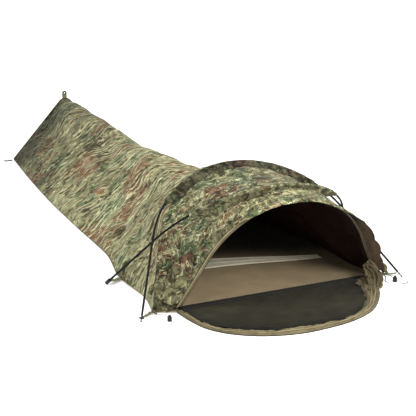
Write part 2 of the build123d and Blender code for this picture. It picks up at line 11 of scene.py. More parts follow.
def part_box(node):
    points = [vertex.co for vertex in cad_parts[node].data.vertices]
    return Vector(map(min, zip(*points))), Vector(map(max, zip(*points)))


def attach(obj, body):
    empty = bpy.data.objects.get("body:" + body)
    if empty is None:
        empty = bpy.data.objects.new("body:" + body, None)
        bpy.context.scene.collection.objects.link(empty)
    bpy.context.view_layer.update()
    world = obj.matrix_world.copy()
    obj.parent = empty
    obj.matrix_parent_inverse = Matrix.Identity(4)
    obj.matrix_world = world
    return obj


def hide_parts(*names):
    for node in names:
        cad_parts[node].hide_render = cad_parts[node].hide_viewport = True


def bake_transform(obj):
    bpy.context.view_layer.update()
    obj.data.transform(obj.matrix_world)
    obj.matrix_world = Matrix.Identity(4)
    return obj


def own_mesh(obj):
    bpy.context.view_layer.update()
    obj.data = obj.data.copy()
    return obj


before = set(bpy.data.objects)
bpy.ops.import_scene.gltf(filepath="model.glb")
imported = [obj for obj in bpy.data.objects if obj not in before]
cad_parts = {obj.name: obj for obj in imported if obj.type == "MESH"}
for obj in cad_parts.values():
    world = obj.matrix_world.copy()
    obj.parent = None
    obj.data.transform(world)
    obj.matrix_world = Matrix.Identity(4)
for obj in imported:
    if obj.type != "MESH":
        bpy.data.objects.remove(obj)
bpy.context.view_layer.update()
scene = bpy.context.scene
scene.view_settings.view_transform = "Standard"

# ---- camera, light and floor
# The object's middle lies on the ground at the origin, its foot towards +Y
AIM = Vector((0.2553, 0.1667, 0.0))
AZIMUTH = math.radians(-25.38)
ELEVATION = math.radians(17.44)
DISTANCE = 6.554
level = math.cos(ELEVATION)
back = Vector((math.sin(AZIMUTH) * level, -math.cos(AZIMUTH) * level, math.sin(ELEVATION)))
camera = bpy.data.objects.new("camera", bpy.data.cameras.new("camera"))
scene.collection.objects.link(camera)
camera.data.sensor_width = 36.0
camera.data.lens = 125.53
camera.location = AIM + back * DISTANCE
camera.rotation_mode = "QUATERNION"
camera.rotation_quaternion = (-back).to_track_quat("-Z", "Y")
camera.data.clip_end = 100.0
scene.camera = camera


def area_light(name, place, aim, size, power, colour):
    """Soft rectangular lamp at place, facing aim."""
    lamp = bpy.data.lights.new(name, "AREA")
    lamp.shape = "RECTANGLE"
    lamp.size = size
    lamp.size_y = size
    lamp.energy = power
    lamp.color = colour
    holder = bpy.data.objects.new(name, lamp)
    scene.collection.objects.link(holder)
    holder.location = place
    direction = Vector(aim) - Vector(place)
    holder.rotation_mode = "QUATERNION"
    holder.rotation_quaternion = direction.to_track_quat("-Z", "Y")


# Each lamp's place, the point it faces, its size, power and colour
area_light("key", (-2.6, -1.2, 3.6), (0, 0.2, 0.2), 2.2, 120.0, (1.0, 0.985, 0.96))
area_light("front", (0.7, -3.1, 1.9), (0.0, -0.75, 0.0), 0.9, 85.0, (1.0, 0.98, 0.95))
area_light("fill", (3.2, -3.4, 2.4), (0.1, -0.5, 0.2), 3.0, 42.0, (0.96, 0.98, 1.0))
area_light("rear", (0.8, 4.0, 3.2), (0, 0.6, 0.2), 3.0, 50.0, (1.0, 1.0, 1.0))

world = bpy.data.worlds.new("studio")
scene.world = world
world.use_nodes = True
sky = world.node_tree.nodes["Background"].inputs
sky["Color"].default_value = (1.0, 1.0, 1.0, 1.0)
sky["Strength"].default_value = 0.82


# ---- small helpers
UP = (0, 0, 1)
TINY = 1e-9
SCATTER_X, SCATTER_Y, SCATTER_SEED = 127.1, 311.7, 74.7
SCATTER_GAIN = 43758.5453


def eased(t):
    """0 to 1, flat at both ends."""
    return t**3 * (t * (t * 6 - 15) + 10)


def lattice_noise(x, y, seed):
    """Smooth noise from -1 to 1 on a unit lattice, the same every run."""
    x, y = np.broadcast_arrays(np.asarray(x, float), np.asarray(y, float))
    cell_x, cell_y = np.floor(x), np.floor(y)
    fx, fy = eased(x - cell_x), eased(y - cell_y)

    def corner(ix, iy):
        """A scattered value from -1 to 1 for a corner of the lattice."""
        value = np.sin(ix * SCATTER_X + iy * SCATTER_Y + seed * SCATTER_SEED) * SCATTER_GAIN
        return 2 * (value - np.floor(value)) - 1

    low = corner(cell_x, cell_y) * (1 - fx) + corner(cell_x + 1, cell_y) * fx
    high = corner(cell_x, cell_y + 1) * (1 - fx) + corner(cell_x + 1, cell_y + 1) * fx
    return low * (1 - fy) + high * fy


def layered_noise(x, y, seed, layers=3):
    """Several sizes of lattice noise added up."""
    total = 0.0
    for layer in range(layers):
        total = total + lattice_noise(x * 2**layer, y * 2**layer, seed + 13 * layer) / 2**layer
    return total


def step(low, high, value):
    """0 below low, 1 above high, smooth between."""
    t = np.clip((np.asarray(value, float) - low) / (high - low), 0, 1)
    return t * t * (3 - 2 * t)


def unit(vectors):
    """The vectors at length 1."""
    return vectors / np.maximum(np.linalg.norm(vectors, axis=-1, keepdims=True), TINY)


def joined(x, y, z):
    """Points with these coordinates, each of which may be one value for a whole row, column or grid."""
    return np.stack(np.broadcast_arrays(x, y, z), axis=-1)


def share_grid(rows, columns):
    """A column and a row of shares from 0 to 1, which together span a grid."""
    return np.linspace(0, 1, rows)[:, None], np.linspace(0, 1, columns)[None, :]


def run_along(path):
    """The distance along a path at each of its points."""
    return np.concatenate([[0], np.cumsum(np.linalg.norm(np.diff(path, axis=0), axis=1))])


def picked(path, run, at):
    """Values of a path at the distances asked for."""
    return np.stack([np.interp(at, run, path[:, k]) for k in range(path.shape[1])], axis=1)


def point_numbers(grid):
    """The number of each point in a grid."""
    rows, columns = grid.shape[:2]
    return np.arange(rows * columns).reshape(rows, columns)


def quads(index):
    """Faces between neighbours in a grid of point numbers."""
    corners = (index[:-1, :-1], index[:-1, 1:], index[1:, 1:], index[1:, :-1])
    return np.stack(corners, axis=-1).reshape(-1, 4).tolist()


def grid_normals(points):
    """Unit normal at each point of a grid of points."""
    return unit(np.cross(np.gradient(points, axis=1), np.gradient(points, axis=0)))


def link_mesh(name, points, faces, materials, body, smooth=True):
    """A piece made of points and faces, riding on a body."""
    mesh = bpy.data.meshes.new(name)
    mesh.from_pydata([tuple(p) for p in points], [], [tuple(f) for f in faces])
    mesh.validate()
    piece = bpy.data.objects.new(name, mesh)
    scene.collection.objects.link(piece)
    for material in materials:
        mesh.materials.append(material)
    if smooth:
        mesh.polygons.foreach_set("use_smooth", [True] * len(mesh.polygons))
    if body:
        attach(piece, body)
    return piece


def store(piece, name, values):
    """Keep a vector for each point, which the materials read."""
    attribute = piece.data.attributes.new(name, "FLOAT_VECTOR", "POINT")
    values = np.asarray(values, np.float32).reshape(-1, 3)
    attribute.data.foreach_set("vector", values.ravel())


def store_painted_shade(piece, tone):
    """Painted shade: how much darker or brighter the cloth is painted at each point."""
    store(piece, "tone", np.repeat(np.asarray(tone, float).reshape(-1, 1), 3, axis=1))


def cloth_coordinates(points):
    """Distances over the cloth, from the middle column and the first row, so that a weave isn't stretched."""
    rows, columns = points.shape[:2]
    middle = columns // 2
    across = np.zeros((rows, columns))
    across[:, 1:] = np.cumsum(np.linalg.norm(np.diff(points, axis=1), axis=2), axis=1)
    across -= across[:, middle : middle + 1]
    along = np.zeros((rows, columns))
    along[1:] = np.cumsum(np.linalg.norm(np.diff(points, axis=0), axis=2), axis=0)
    return joined(across, along, 0.0)


def grid_piece(name, points, materials, body, thickness=0.0, cloth=None):
    """A sheet made from a grid of points. Its back face takes the second material."""
    faces = quads(point_numbers(points))
    piece = link_mesh(name, points.reshape(-1, 3), faces, materials, body)
    store(piece, "cloth", cloth_coordinates(points) if cloth is None else cloth)
    if thickness:
        shell = piece.modifiers.new("thickness", "SOLIDIFY")
        shell.thickness, shell.offset = thickness, -1.0
        shell.material_offset = 1 if len(materials) > 1 else 0
    return piece


# ---- materials
def linear(red, green, blue):
    """A screen colour, 0 to 255, as the shader's linear colour."""
    shares = (value / 255 for value in (red, green, blue))
    curve = (((c + 0.055) / 1.055) ** 2.4 if c > 10 / 255 else c / 12.92 for c in shares)
    return (*curve, 1.0)


# A colour mix node's inputs: its factor and its two colours
MIX_COLOUR_SOCKETS = (0, 6, 7)
NOISE_SPAN = (0.3, 0.7)


class Shader:
    """A material's node tree, built one node at a time."""

    def __init__(self, name, roughness):
        self.material = bpy.data.materials.new(name)
        self.material.use_nodes = True
        self.tree = self.material.node_tree
        self.surface = self.tree.nodes["Principled BSDF"].inputs
        self.set("Roughness", roughness)

    def set(self, socket, value):
        """One fixed value of the surface."""
        self.surface[socket].default_value = value

    def node(self, kind, inputs=(), output=0, **properties):
        """A node with its inputs linked or set, as the output asked for."""
        made = self.tree.nodes.new("ShaderNode" + kind)
        for name, value in properties.items():
            setattr(made, name, value)
        for name, value in dict(inputs).items():
            if isinstance(value, bpy.types.NodeSocket):
                self.tree.links.new(value, made.inputs[name])
            else:
                made.inputs[name].default_value = value
        return made.outputs[output]

    def vector(self, attribute):
        """What a piece keeps for each point under this name."""
        return self.node("Attribute", output="Vector", attribute_name=attribute)

    def tone(self):
        """The painted shade here: how much darker or brighter the cloth is painted."""
        return self.node("SeparateXYZ", {0: self.vector("tone")}, output="X")

    def stretched(self, vector, scale, offset=(0, 0, 0)):
        """Coordinates scaled and moved."""
        return self.node("Mapping", {"Vector": vector, "Scale": scale, "Location": offset})

    def noise(self, vector, scale, detail=3.0, roughness=0.5, output=0):
        """Soft noise, mostly inside NOISE_SPAN."""
        inputs = {"Vector": vector, "Scale": scale, "Detail": detail, "Roughness": roughness}
        return self.node("TexNoise", inputs, output=output)

    def ramp(self, value, low, high, to_low=0.0, to_high=1.0, smooth=True):
        """A value's range from low to high carried to another range."""
        inputs = {"Value": value, "From Min": low, "From Max": high, "To Min": to_low, "To Max": to_high}
        return self.node("MapRange", inputs, interpolation_type="SMOOTHSTEP" if smooth else "LINEAR")

    def mix(self, factor, first, second, blend="MIX"):
        """Two colours mixed by a factor."""
        made = self.tree.nodes.new("ShaderNodeMix")
        made.data_type, made.blend_type = "RGBA", blend
        for socket, value in zip(MIX_COLOUR_SOCKETS, (factor, first, second)):
            if isinstance(value, bpy.types.NodeSocket):
                self.tree.links.new(value, made.inputs[socket])
            else:
                made.inputs[socket].default_value = value
        return made.outputs[2]

    def math(self, operation, first, second=0.0):
        """One sum on two values."""
        return self.node("Math", {0: first, 1: second}, operation=operation)

    def times(self, first, second):
        """Two values multiplied."""
        return self.math("MULTIPLY", first, second)

    def spread(self, noise, low, high):
        """A noise's usual range carried evenly to another range."""
        return self.ramp(noise, *NOISE_SPAN, low, high, smooth=False)

    def feed(self, socket, value):
        """A value linked to one input of the surface."""
        self.tree.links.new(value, self.surface[socket])

    def shaded(self, colour, red, green, blue):
        """The surface's colour, with its three parts made brighter or darker."""
        factors = self.node("CombineColor", {0: red, 1: green, 2: blue})
        self.feed("Base Color", self.mix(1.0, colour, factors, "MULTIPLY"))

    def bump(self, height, distance, strength, normal=None):
        """Fine relief on the surface, over the relief that normal holds."""
        inputs = {"Height": height, "Distance": distance, "Strength": strength}
        if normal is not None:
            inputs["Normal"] = normal
        made = self.node("Bump", inputs)
        self.feed("Normal", made)
        return made


WEAVE_PITCH = 0.0011
WEAVE_HEIGHT = 0.0003
CLOTH_GLINT = 0.15
FULL_TURN = 6.283
BAND_STEP = 0.05  # metres that a band texture of scale 1 takes to turn one radian


def weave(shader, vector, pitch=WEAVE_PITCH):
    """Height of a plain weave: threads over and under in both directions."""
    waves = []
    for direction in ("X", "Y"):
        inputs = {"Vector": vector, "Scale": BAND_STEP / pitch * FULL_TURN, "Distortion": 0.0, "Detail": 0.0}
        waves.append(shader.node("TexWave", inputs, output=1, wave_type="BANDS", bands_direction=direction))
    return shader.times(*waves)


# The print's inks, and the colours painted as highlights and shade, as screen colours
INKS = {
    "sand": (166, 161, 130),
    "dull_sand": (142, 137, 106),
    "green": (104, 117, 88),
    "red_brown": (138, 102, 80),
    "dark_brown": (84, 70, 46),
    "painted_wrinkle_highlight": (226, 220, 188),
    "painted_wrinkle_shade": (64, 56, 34),
    "painted_squiggle_highlight": (244, 238, 206),
    "dark_squiggle": (52, 42, 26),
    "dark_fleck": (76, 68, 44),
    "pale_fleck": (200, 195, 164),
}
# Each patch's edge in its noise, from and to, then its seed and how much finer it is than the first
PATCHES = {
    "dull_sand": (0.44, 0.56, 1, 1.0),
    "green": (0.52, 0.55, 3, 1.0),
    "red_brown": (0.545, 0.572, 4, 1.0),
    "dark_brown": (0.575, 0.600, 5, 1.8),
}
# The whole print leans a little to green and away from blue
GREEN_SHARE = 1.04
BLUE_SHARE = 0.87


def camo_fabric(name, patch, wrinkle_shading, squiggles, gain, crumple_shade_depth, line_scale):
    """Woven laminate printed with sand, green and red-brown patches, under painted highlights and painted
    shade of fine wavy wrinkles, with painted shade in its small crumples.
    """
    shader = Shader(name, 0.85)
    shader.set("Sheen Weight", 0.03)
    shader.set("Specular IOR Level", CLOTH_GLINT)
    print_at = shader.vector("print")
    cloth = shader.vector("cloth")
    warp = shader.noise(print_at, 0.8, 2.0, output=1)
    shift = shader.node("VectorMath", {0: warp, 1: (0.5, 0.5, 0.5)}, operation="SUBTRACT")
    shift = shader.node("VectorMath", {0: shift, "Scale": 1.2}, operation="SCALE")
    at = shader.node("VectorMath", {0: print_at, 1: shift}, operation="ADD")

    def field(stretch, seed, detail=2.0, roughness=0.55):
        """Noise over the warped print, elsewhere for each seed."""
        moved = shader.stretched(at, stretch, (seed * 3.7, seed * 5.3, seed * 2.9))
        return shader.noise(moved, 1.0, detail, roughness)

    def blotch(stretch, low, high, seed):
        """Patches where a noise is high."""
        return shader.ramp(field(stretch, seed, 3.0, 0.62), low, high)

    def squiggle(scale, seed, width, most):
        """Thin squiggles where a noise crosses its middle."""
        off = shader.math("ABSOLUTE", shader.math("SUBTRACT", field((scale, scale, scale), seed), 0.5))
        return shader.ramp(off, 0.3 * width, width, most, 0.0)

    base = linear(*INKS["sand"])
    for ink, (low, high, seed, finer) in PATCHES.items():
        share = blotch(tuple(finer * p for p in patch), low, high, seed)
        base = shader.mix(share, base, linear(*INKS[ink]))
    # Painted highlights on the crests and painted shade in the troughs of fine wavy wrinkles
    bands = {"Vector": at, "Scale": line_scale, "Distortion": 8.5}
    bands |= {"Detail": 3.0, "Detail Scale": 1.3, "Detail Roughness": 0.6}
    wave = shader.node("TexWave", bands, output=1, wave_type="BANDS", bands_direction="Y")
    crest = shader.ramp(wave, 0.74, 0.92, 0.0, wrinkle_shading)
    trough = shader.ramp(wave, 0.06, 0.24, wrinkle_shading, 0.0)
    marks = {
        "painted_wrinkle_highlight": shader.times(crest, blotch((0.9, 0.7, 0.9), 0.44, 0.56, 6)),
        "painted_wrinkle_shade": shader.times(trough, blotch((0.8, 0.6, 0.8), 0.46, 0.57, 7)),
        # Pale squiggles are painted highlights on small crumples
        "painted_squiggle_highlight": squiggle(1.15, 8, 0.026, 0.85 * squiggles),
        "dark_squiggle": squiggle(1.3, 9, 0.030, 0.9 * squiggles),
        "dark_fleck": shader.ramp(field((2.4, 2.4, 2.4), 10, 1.0), 0.60, 0.66, 0.0, 0.7),
        "pale_fleck": shader.ramp(field((2.8, 2.5, 2.8), 11, 1.0), 0.60, 0.66, 0.0, 0.6),
    }
    for ink, share in marks.items():
        base = shader.mix(share, base, linear(*INKS[ink]))
    # gain: brightness of this copy of the print; the lower gain of the hood and sleeve copies is painted
    # shade
    grain = shader.spread(shader.noise(cloth, 420.0, 2.0), 0.92 * gain, 1.06 * gain)
    wear = shader.spread(shader.noise(cloth, 9.0, 4.0), 0.90, 1.05)
    # Painted shade in the cloth's small crumples, deeper where its depth is set higher
    crushed = field((1.3, 1.7, 1.3), 12, 5.0, 0.74)
    relief = shader.ramp(crushed, 0.36, 0.64, 1 - crumple_shade_depth, 1 + crumple_shade_depth, smooth=False)
    # shade: grain and wear, times the painted crumple shade and the stored painted shade
    shade = shader.times(shader.times(grain, shader.times(wear, relief)), shader.tone())
    shader.shaded(base, shade, shader.times(shade, GREEN_SHARE), shader.times(shade, BLUE_SHARE))
    crinkle = shader.noise(shader.stretched(cloth, (0.45, 1.0, 1.0)), 70.0, 4.0, 0.6)
    rough = shader.bump(crinkle, 0.004, 0.7)
    shader.bump(weave(shader, cloth), WEAVE_HEIGHT, 0.5, rough)
    return shader.material


def plain_cloth(
    name,
    colour,
    second,
    roughness=0.75,
    crease_scale=40.0,
    crease_height=0.002,
    pitch=WEAVE_PITCH,
    sheen=0.05,
    with_painted_shade=False,
):
    """Cloth of one colour with soft mottling, a weave and small creases, and painted shade where asked."""
    shader = Shader(name, roughness)
    shader.set("Sheen Weight", sheen)
    shader.set("Specular IOR Level", CLOTH_GLINT)
    cloth = shader.vector("cloth")
    mottle = shader.ramp(shader.noise(cloth, 12.0, 5.0, 0.6), 0.35, 0.65)
    grain = shader.spread(shader.noise(cloth, 500.0, 2.0), 0.92, 1.06)
    # Painted shade from each point's stored value, multiplied into the grain
    if with_painted_shade:
        grain = shader.times(grain, shader.tone())
    shader.shaded(shader.mix(mottle, linear(*colour), linear(*second)), grain, grain, grain)
    rough = shader.bump(shader.noise(cloth, crease_scale, 4.0, 0.6), crease_height, 0.5)
    shader.bump(weave(shader, cloth, pitch), WEAVE_HEIGHT, 0.6, rough)
    return shader.material


SCRATCH = 0.12  # how far a hard surface's roughness strays either way


def hard(name, colour, second, roughness, metallic=0.0, glint=0.3):
    """Moulded or metal surface with a little wear, patterned by its own position."""
    shader = Shader(name, roughness)
    shader.set("Specular IOR Level", glint)
    shader.set("Metallic", metallic)
    place = shader.node("TexCoord", output="Object")
    wear = shader.ramp(shader.noise(place, 130.0, 5.0, 0.65), 0.48, 0.72)
    shader.feed("Base Color", shader.mix(wear, linear(*colour), linear(*second)))
    scratches = shader.noise(place, 300.0, 3.0)
    shader.feed("Roughness", shader.spread(scratches, roughness - SCRATCH, roughness + SCRATCH))
    shader.bump(shader.noise(place, 900.0, 3.0), 0.0002, 0.4)
    return shader.material


# Patch scale, strength of the painted wrinkle light and shade and of the squiggles, brightness (lower on the
# hood and sleeve copies as painted shade), depth of the painted crumple shade and scale of the wrinkles
CAMO_BODY = camo_fabric("camo_print_body", (0.50, 0.30, 0.50), 0.85, 0.45, 0.67, 0.40, 0.52)
CAMO_HOOD = camo_fabric("camo_print_hood", (0.40, 0.36, 0.40), 0.25, 0.9, 0.49, 0.70, 0.27)
CAMO_SLEEVE = camo_fabric("camo_print_sleeve", (0.5, 0.4, 0.5), 0.3, 0.6, 0.27, 0.70, 0.27)
# Two colours, roughness, scale and height of the creases, and pitch of the weave
LINER = plain_cloth("dark_liner", (40, 23, 18), (30, 18, 14), 0.85, sheen=0.0)
FLAP_LINER = plain_cloth("brown_liner", (68, 53, 35), (50, 39, 26), 0.75)
FLOOR_CLOTH = plain_cloth("floor_cloth", (150, 133, 102), (140, 124, 95), 0.6, 18.0, 0.004, with_painted_shade=True)
TAN = plain_cloth("tan_cloth", (129, 115, 73), (106, 92, 56), 0.75, 60.0, 0.005)
TAN_DARK = plain_cloth("tan_cloth_back", (104, 95, 70), (82, 74, 54), 0.75, 50.0, 0.004)
# The bunched cloth is a darker copy of the tan cloth: painted shade of its folds
GATHER = plain_cloth("gathered_tan_cloth", (92, 83, 60), (56, 48, 32), 0.8, 60.0, 0.005)
PIPING = plain_cloth("light_piping", (140, 130, 98), (120, 110, 80), 0.6, 200.0, 0.0008, 0.0009)
TAPE = plain_cloth("seam_tape_cloth", (246, 240, 214), (228, 220, 192), 0.5)
NET = plain_cloth("net_cloth", (44, 42, 28), (34, 32, 21), 0.7, 26.0, 0.005, 0.0018, 0.03, with_painted_shade=True)
NET_EDGE = plain_cloth("net_edge_cloth", (30, 28, 22), (22, 21, 17), 0.7)
BLACK_TUBE = hard("anodised_tube", (9, 9, 9), (20, 19, 18), 0.6, glint=0.12)
ALLOY = hard("dark_alloy", (70, 70, 72), (100, 100, 102), 0.35, 0.9)
BLACK_PLASTIC = hard("black_nylon", (18, 18, 19), (30, 30, 31), 0.45)
BLACK_METAL = hard("black_cast_metal", (22, 22, 23), (52, 50, 47), 0.38, 0.6)
BRAID = plain_cloth("braided_cord", (58, 56, 42), (34, 33, 26), 0.75, 300.0, 0.0008, 0.0008)
ELASTIC = plain_cloth("black_elastic", (22, 22, 21), (32, 31, 29), 0.7, 300.0, 0.0006, 0.0009)
WEBBING = plain_cloth("olive_webbing", (104, 104, 74), (84, 85, 60), 0.7, 120.0, 0.0008, 0.0016)
THREAD = plain_cloth("olive_thread", (120, 116, 88), (92, 88, 62), 0.7, 400.0, 0.0003, 0.0006)
STEEL = hard("spring_wire", (150, 150, 152), (110, 110, 112), 0.25, 1.0)

# ---- free cords
CORDS = {
    "drawcord_left": (
        (-0.480, -0.946, 0.009), (-0.473, -0.958, 0.011), (-0.463, -0.974, 0.013), (-0.456, -0.992, 0.0131),
        (-0.4559, -1.026, 0.013), (-0.459, -1.040, 0.006), (-0.468, -1.051, 0.0015),
    ),
    "drawcord_right": (
        (0.500, -0.942, 0.009), (0.5035, -0.956, 0.0115), (0.5038, -0.973, 0.013), (0.502, -0.991, 0.0131),
        (0.5021, -1.026, 0.013), (0.507, -1.040, 0.006), (0.519, -1.048, 0.0015), (0.535, -1.046, 0.0014),
        (0.546, -1.035, 0.0014), (0.545, -1.020, 0.0015),
    ),
    "zip_pull_cord_right": (
        (0.47645, -0.94255, 0.0148), (0.4862, -0.94205, 0.0128), (0.494, -0.9475, 0.0062),
        (0.494, -0.9575, 0.0021), (0.486, -0.969, 0.0016), (0.475, -0.980, 0.0017), (0.468, -0.993, 0.0016),
        (0.472, -1.006, 0.0016),
    ),
}


def lay_cord(name, radius, body):
    """A limp cord as one smooth curve along its route."""
    curve = bpy.data.curves.new(name + "_line", "CURVE")
    curve.dimensions = "3D"
    curve.bevel_depth = radius
    curve.bevel_resolution = 4
    curve.resolution_u = 12
    curve.use_fill_caps = True
    spline = curve.splines.new("NURBS")
    spline.points.add(len(CORDS[name]) - 1)
    for point, place in zip(spline.points, CORDS[name]):
        point.co = (*place, 1.0)
    spline.order_u = 3
    spline.use_endpoint_u = True
    cord = bpy.data.objects.new(name + "_braid", curve)
    scene.collection.objects.link(cord)
    cord.data.materials.append(BRAID)
    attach(cord, body)
    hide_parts(name)


DRAWCORD_RADIUS = 0.0013
PULL_CORD_RADIUS = 0.0015
for side, length in (("left", 0.116), ("right", 0.160)):
    lay_cord(f"drawcord_{side}", DRAWCORD_RADIUS, "root")
lay_cord("zip_pull_cord_right", PULL_CORD_RADIUS, "pull_right")

# ---- the cover's surface
FEET_Y = -0.975
BASE_Z = 0.0031
# Each section from the mouth to the foot: sideways shift, distance behind the rear hoop's feet,
# lean in degrees, half width, height along the lean and radius of the crown
SECTIONS = (
    (0.035, 0.0547, -14.0, 0.432, 0.410, 0.365),
    (0.022, 0.057, 3.0, 0.452, 0.424, 0.372),
    (0.010, 0.0595, 22.0, 0.470, 0.450, 0.385),
    (0.0, 0.062, 37.5, 0.484, 0.531, 0.412),
    (0.0, 0.240, 36.0, 0.446, 0.476, 0.330),
    (0.0, 0.440, 29.6, 0.453, 0.405, 0.250),
    (0.0, 0.760, 17.8, 0.394, 0.328, 0.180),
    (0.0, 1.100, 9.8, 0.382, 0.295, 0.150),
    (0.0, 1.500, 0.0, 0.362, 0.278, 0.120),
    (0.0, 1.900, 0.0, 0.328, 0.282, 0.080),
    (0.0, 2.301, 0.0, 0.283, 0.287, 0.040),
)
REAR_STATION = 3.0  # the section at the rear hoop's seam


def section_at(station):
    """The section's values at a station between two sections, without overshoot."""
    table = np.array(SECTIONS)
    knots = np.arange(len(table), dtype=float)
    slopes = np.diff(table, axis=0)
    before, after = slopes[:-1], slopes[1:]
    same_way = before * after > 0
    inner = np.where(same_way, 2 * before * after / np.where(same_way, before + after, 1), 0)
    tangents = np.vstack([slopes[:1], inner, slopes[-1:]])
    station = np.clip(np.asarray(station, float), knots[0], knots[-1])
    k = np.minimum(station.astype(int), len(table) - 2)
    t = (station - k)[..., None]
    here = (2 * t**3 - 3 * t**2 + 1) * table[k] + (t**3 - 2 * t**2 + t) * tangents[k]
    return here + (-2 * t**3 + 3 * t**2) * table[k + 1] + (t**3 - t**2) * tangents[k + 1]


def cover_points(station, share):
    """Points of the cover: share runs from 0 at the left edge to 1 at the right edge."""
    station, share = np.broadcast_arrays(np.asarray(station, float), np.asarray(share, float))
    shift, behind, lean, half, top, radius = np.moveaxis(section_at(station), -1, 0)
    lean = np.radians(lean)
    centre = top - radius
    leg_lean = np.arccos(radius / np.hypot(half, centre)) - np.arctan2(centre, half)
    leg = (centre + radius * np.sin(leg_lean)) / np.cos(leg_lean)
    crown = radius * (np.pi - 2 * leg_lean)
    along = np.minimum(share, 1 - share) * (2 * leg + crown)
    side = np.where(share < 0.5, -1.0, 1.0)
    on_leg = along < leg
    angle = np.pi - leg_lean - (along - leg) / radius
    x = np.where(on_leg, half - along * np.sin(leg_lean), -radius * np.cos(angle))
    up = np.where(on_leg, along * np.cos(leg_lean), centre + radius * np.sin(angle))
    y = FEET_Y + behind + up * np.sin(lean)
    z = BASE_Z + up * np.cos(lean)
    return joined(side * x + shift, y, z)


HOOP_LEAN = math.radians(42.6)
HOOP_FOOT_Z = 0.0034
FRONT_FEET_Y = FEET_Y + 0.420


def ahead_of_front_hoop(points):
    """Positive in front of the front hoop's plane."""
    forward = FRONT_FEET_Y - points[..., 1]
    up = points[..., 2] - HOOP_FOOT_Z
    return forward * math.cos(HOOP_LEAN) - up * math.sin(HOOP_LEAN)


def seam_station(share):
    """Station where the hood meets the front hoop's plane, or the rear seam's, and whether it meets."""
    low, high = np.zeros_like(share), np.full_like(share, REAR_STATION)
    meets = ahead_of_front_hoop(cover_points(high, share)) < 0
    for _ in range(30):
        middle = (low + high) / 2
        ahead = ahead_of_front_hoop(cover_points(middle, share)) > 0
        low, high = np.where(ahead, middle, low), np.where(ahead, high, middle)
    return np.where(meets, low, REAR_STATION), meets


def ridged(x, y, seed, layers=2):
    """Noise with sharp crests, from -1.5 to 1.5, like creased cloth."""
    total = 0.0
    for layer in range(layers):
        part = lattice_noise(x * 2**layer, y * 2**layer, seed + 9 * layer)
        total = total + (1 - 3 * np.abs(part)) / 2**layer
    return np.clip(total, -1.5, 1.5)


def body_folds(points, cloth):
    """How far the body's cloth stands out from its plain shape: long soft ripples across it."""
    across, along = cloth[..., 0], cloth[..., 1]
    behind_hoop = step(0.0, 0.25, along)
    foot = step(1.95, 2.24, along)
    flow = along + 0.12 * lattice_noise(across * 1.7, along * 1.4, 3) + 0.05 * np.abs(across) * (1 - foot)
    ripple = layered_noise(across * 2.0, flow * 15.0, 11, 2) * 0.0046
    crease = ridged(across * 1.6 + 4, flow * 21.0, 17) * 0.0022
    fine = lattice_noise(across * 5.0 + 7, flow * 46.0, 21) * 0.0014
    sag = lattice_noise(across * 1.8, along * 2.6, 5) * 0.007
    near_hood = (1 - step(0.02, 0.5, along)) * ridged(across * 6.0, along * 7.0, 51) * 0.0035
    edge = step(0.0, 0.035, points[..., 2])
    small = (ripple + crease + fine) * (0.55 + 0.45 * behind_hoop) * (1 - 0.6 * foot)
    ends = step(0.0, 0.03, along) * (1 - step(2.22, 2.24, along) * 0.7)
    crown = 1 - step(0.12, 0.42, np.abs(across))
    hollow = 0.020 * crown * step(0.12, 0.45, along)
    sag = sag - hollow * (1 - step(1.0, 1.7, along)) / np.maximum(behind_hoop, 0.2)
    return (small + near_hood) * edge * ends + sag * edge * behind_hoop * (1 - foot)


def hood_folds(points, cloth):
    """The hood's looser crumples, strongest low on its cheeks."""
    across, along = cloth[..., 0], cloth[..., 1]
    low = 1 - step(0.05, 0.30, points[..., 2])
    crumple = layered_noise(across * 12 + 3, along * 11, 31, 3)
    crease = ridged(across * 9.0 + 1, along * 8.0, 43)
    pulls = layered_noise(across * 4.0, along * 22.0, 37, 2)
    edge = step(0.0, 0.03, points[..., 2])
    return edge * (crumple * (0.0026 + 0.0055 * low) + crease * (0.0012 + 0.006 * low) + pulls * 0.0024)


def displaced(points, amount):
    """Points moved out along the grid's normals."""
    return points + grid_normals(points) * amount[..., None]


def add_print(piece, points, size, seed, tone, wander):
    """Where the print lies, in blotch sizes, wandering a little, and the painted shade on the cloth."""
    points = np.asarray(points, float).reshape(-1, 3)
    x, y, z = points.T
    drift = wander * lattice_noise((x + z) * 6.0, y * 3.4 + z, seed + 1)
    drift = drift + 0.40 * wander * lattice_noise((x - z) * 14.0, y * 7.0 - x * 3.0, seed + 2)
    store(piece, "print", np.stack([x / size[0] + seed, (y + drift) / size[1], z / size[2]], axis=1))
    store_painted_shade(piece, np.broadcast_to(np.asarray(tone, float).reshape(-1), len(points)))


# Size of the print's unit along X, Y and Z
BODY_PRINT = (0.095, 0.042, 0.095)
HOOD_PRINT = (0.050, 0.042, 0.050)
CRESCENT_PRINT = (0.06, 0.045, 0.06)
FOOT_PRINT = (0.07, 0.1, 0.05)
FOLD_PRINT = (0.07, 0.06, 0.07)
CALM = 0.01  # how far the print wanders on the hood, its sleeves and flaps, and the door's outside
CLOTH = 0.0008  # thickness of the cover


def cover_panel(name, points, material, cloth):
    """One panel of the cover, printed outside and dark inside."""
    return grid_piece(name, points, [material, LINER], "root", CLOTH, cloth)


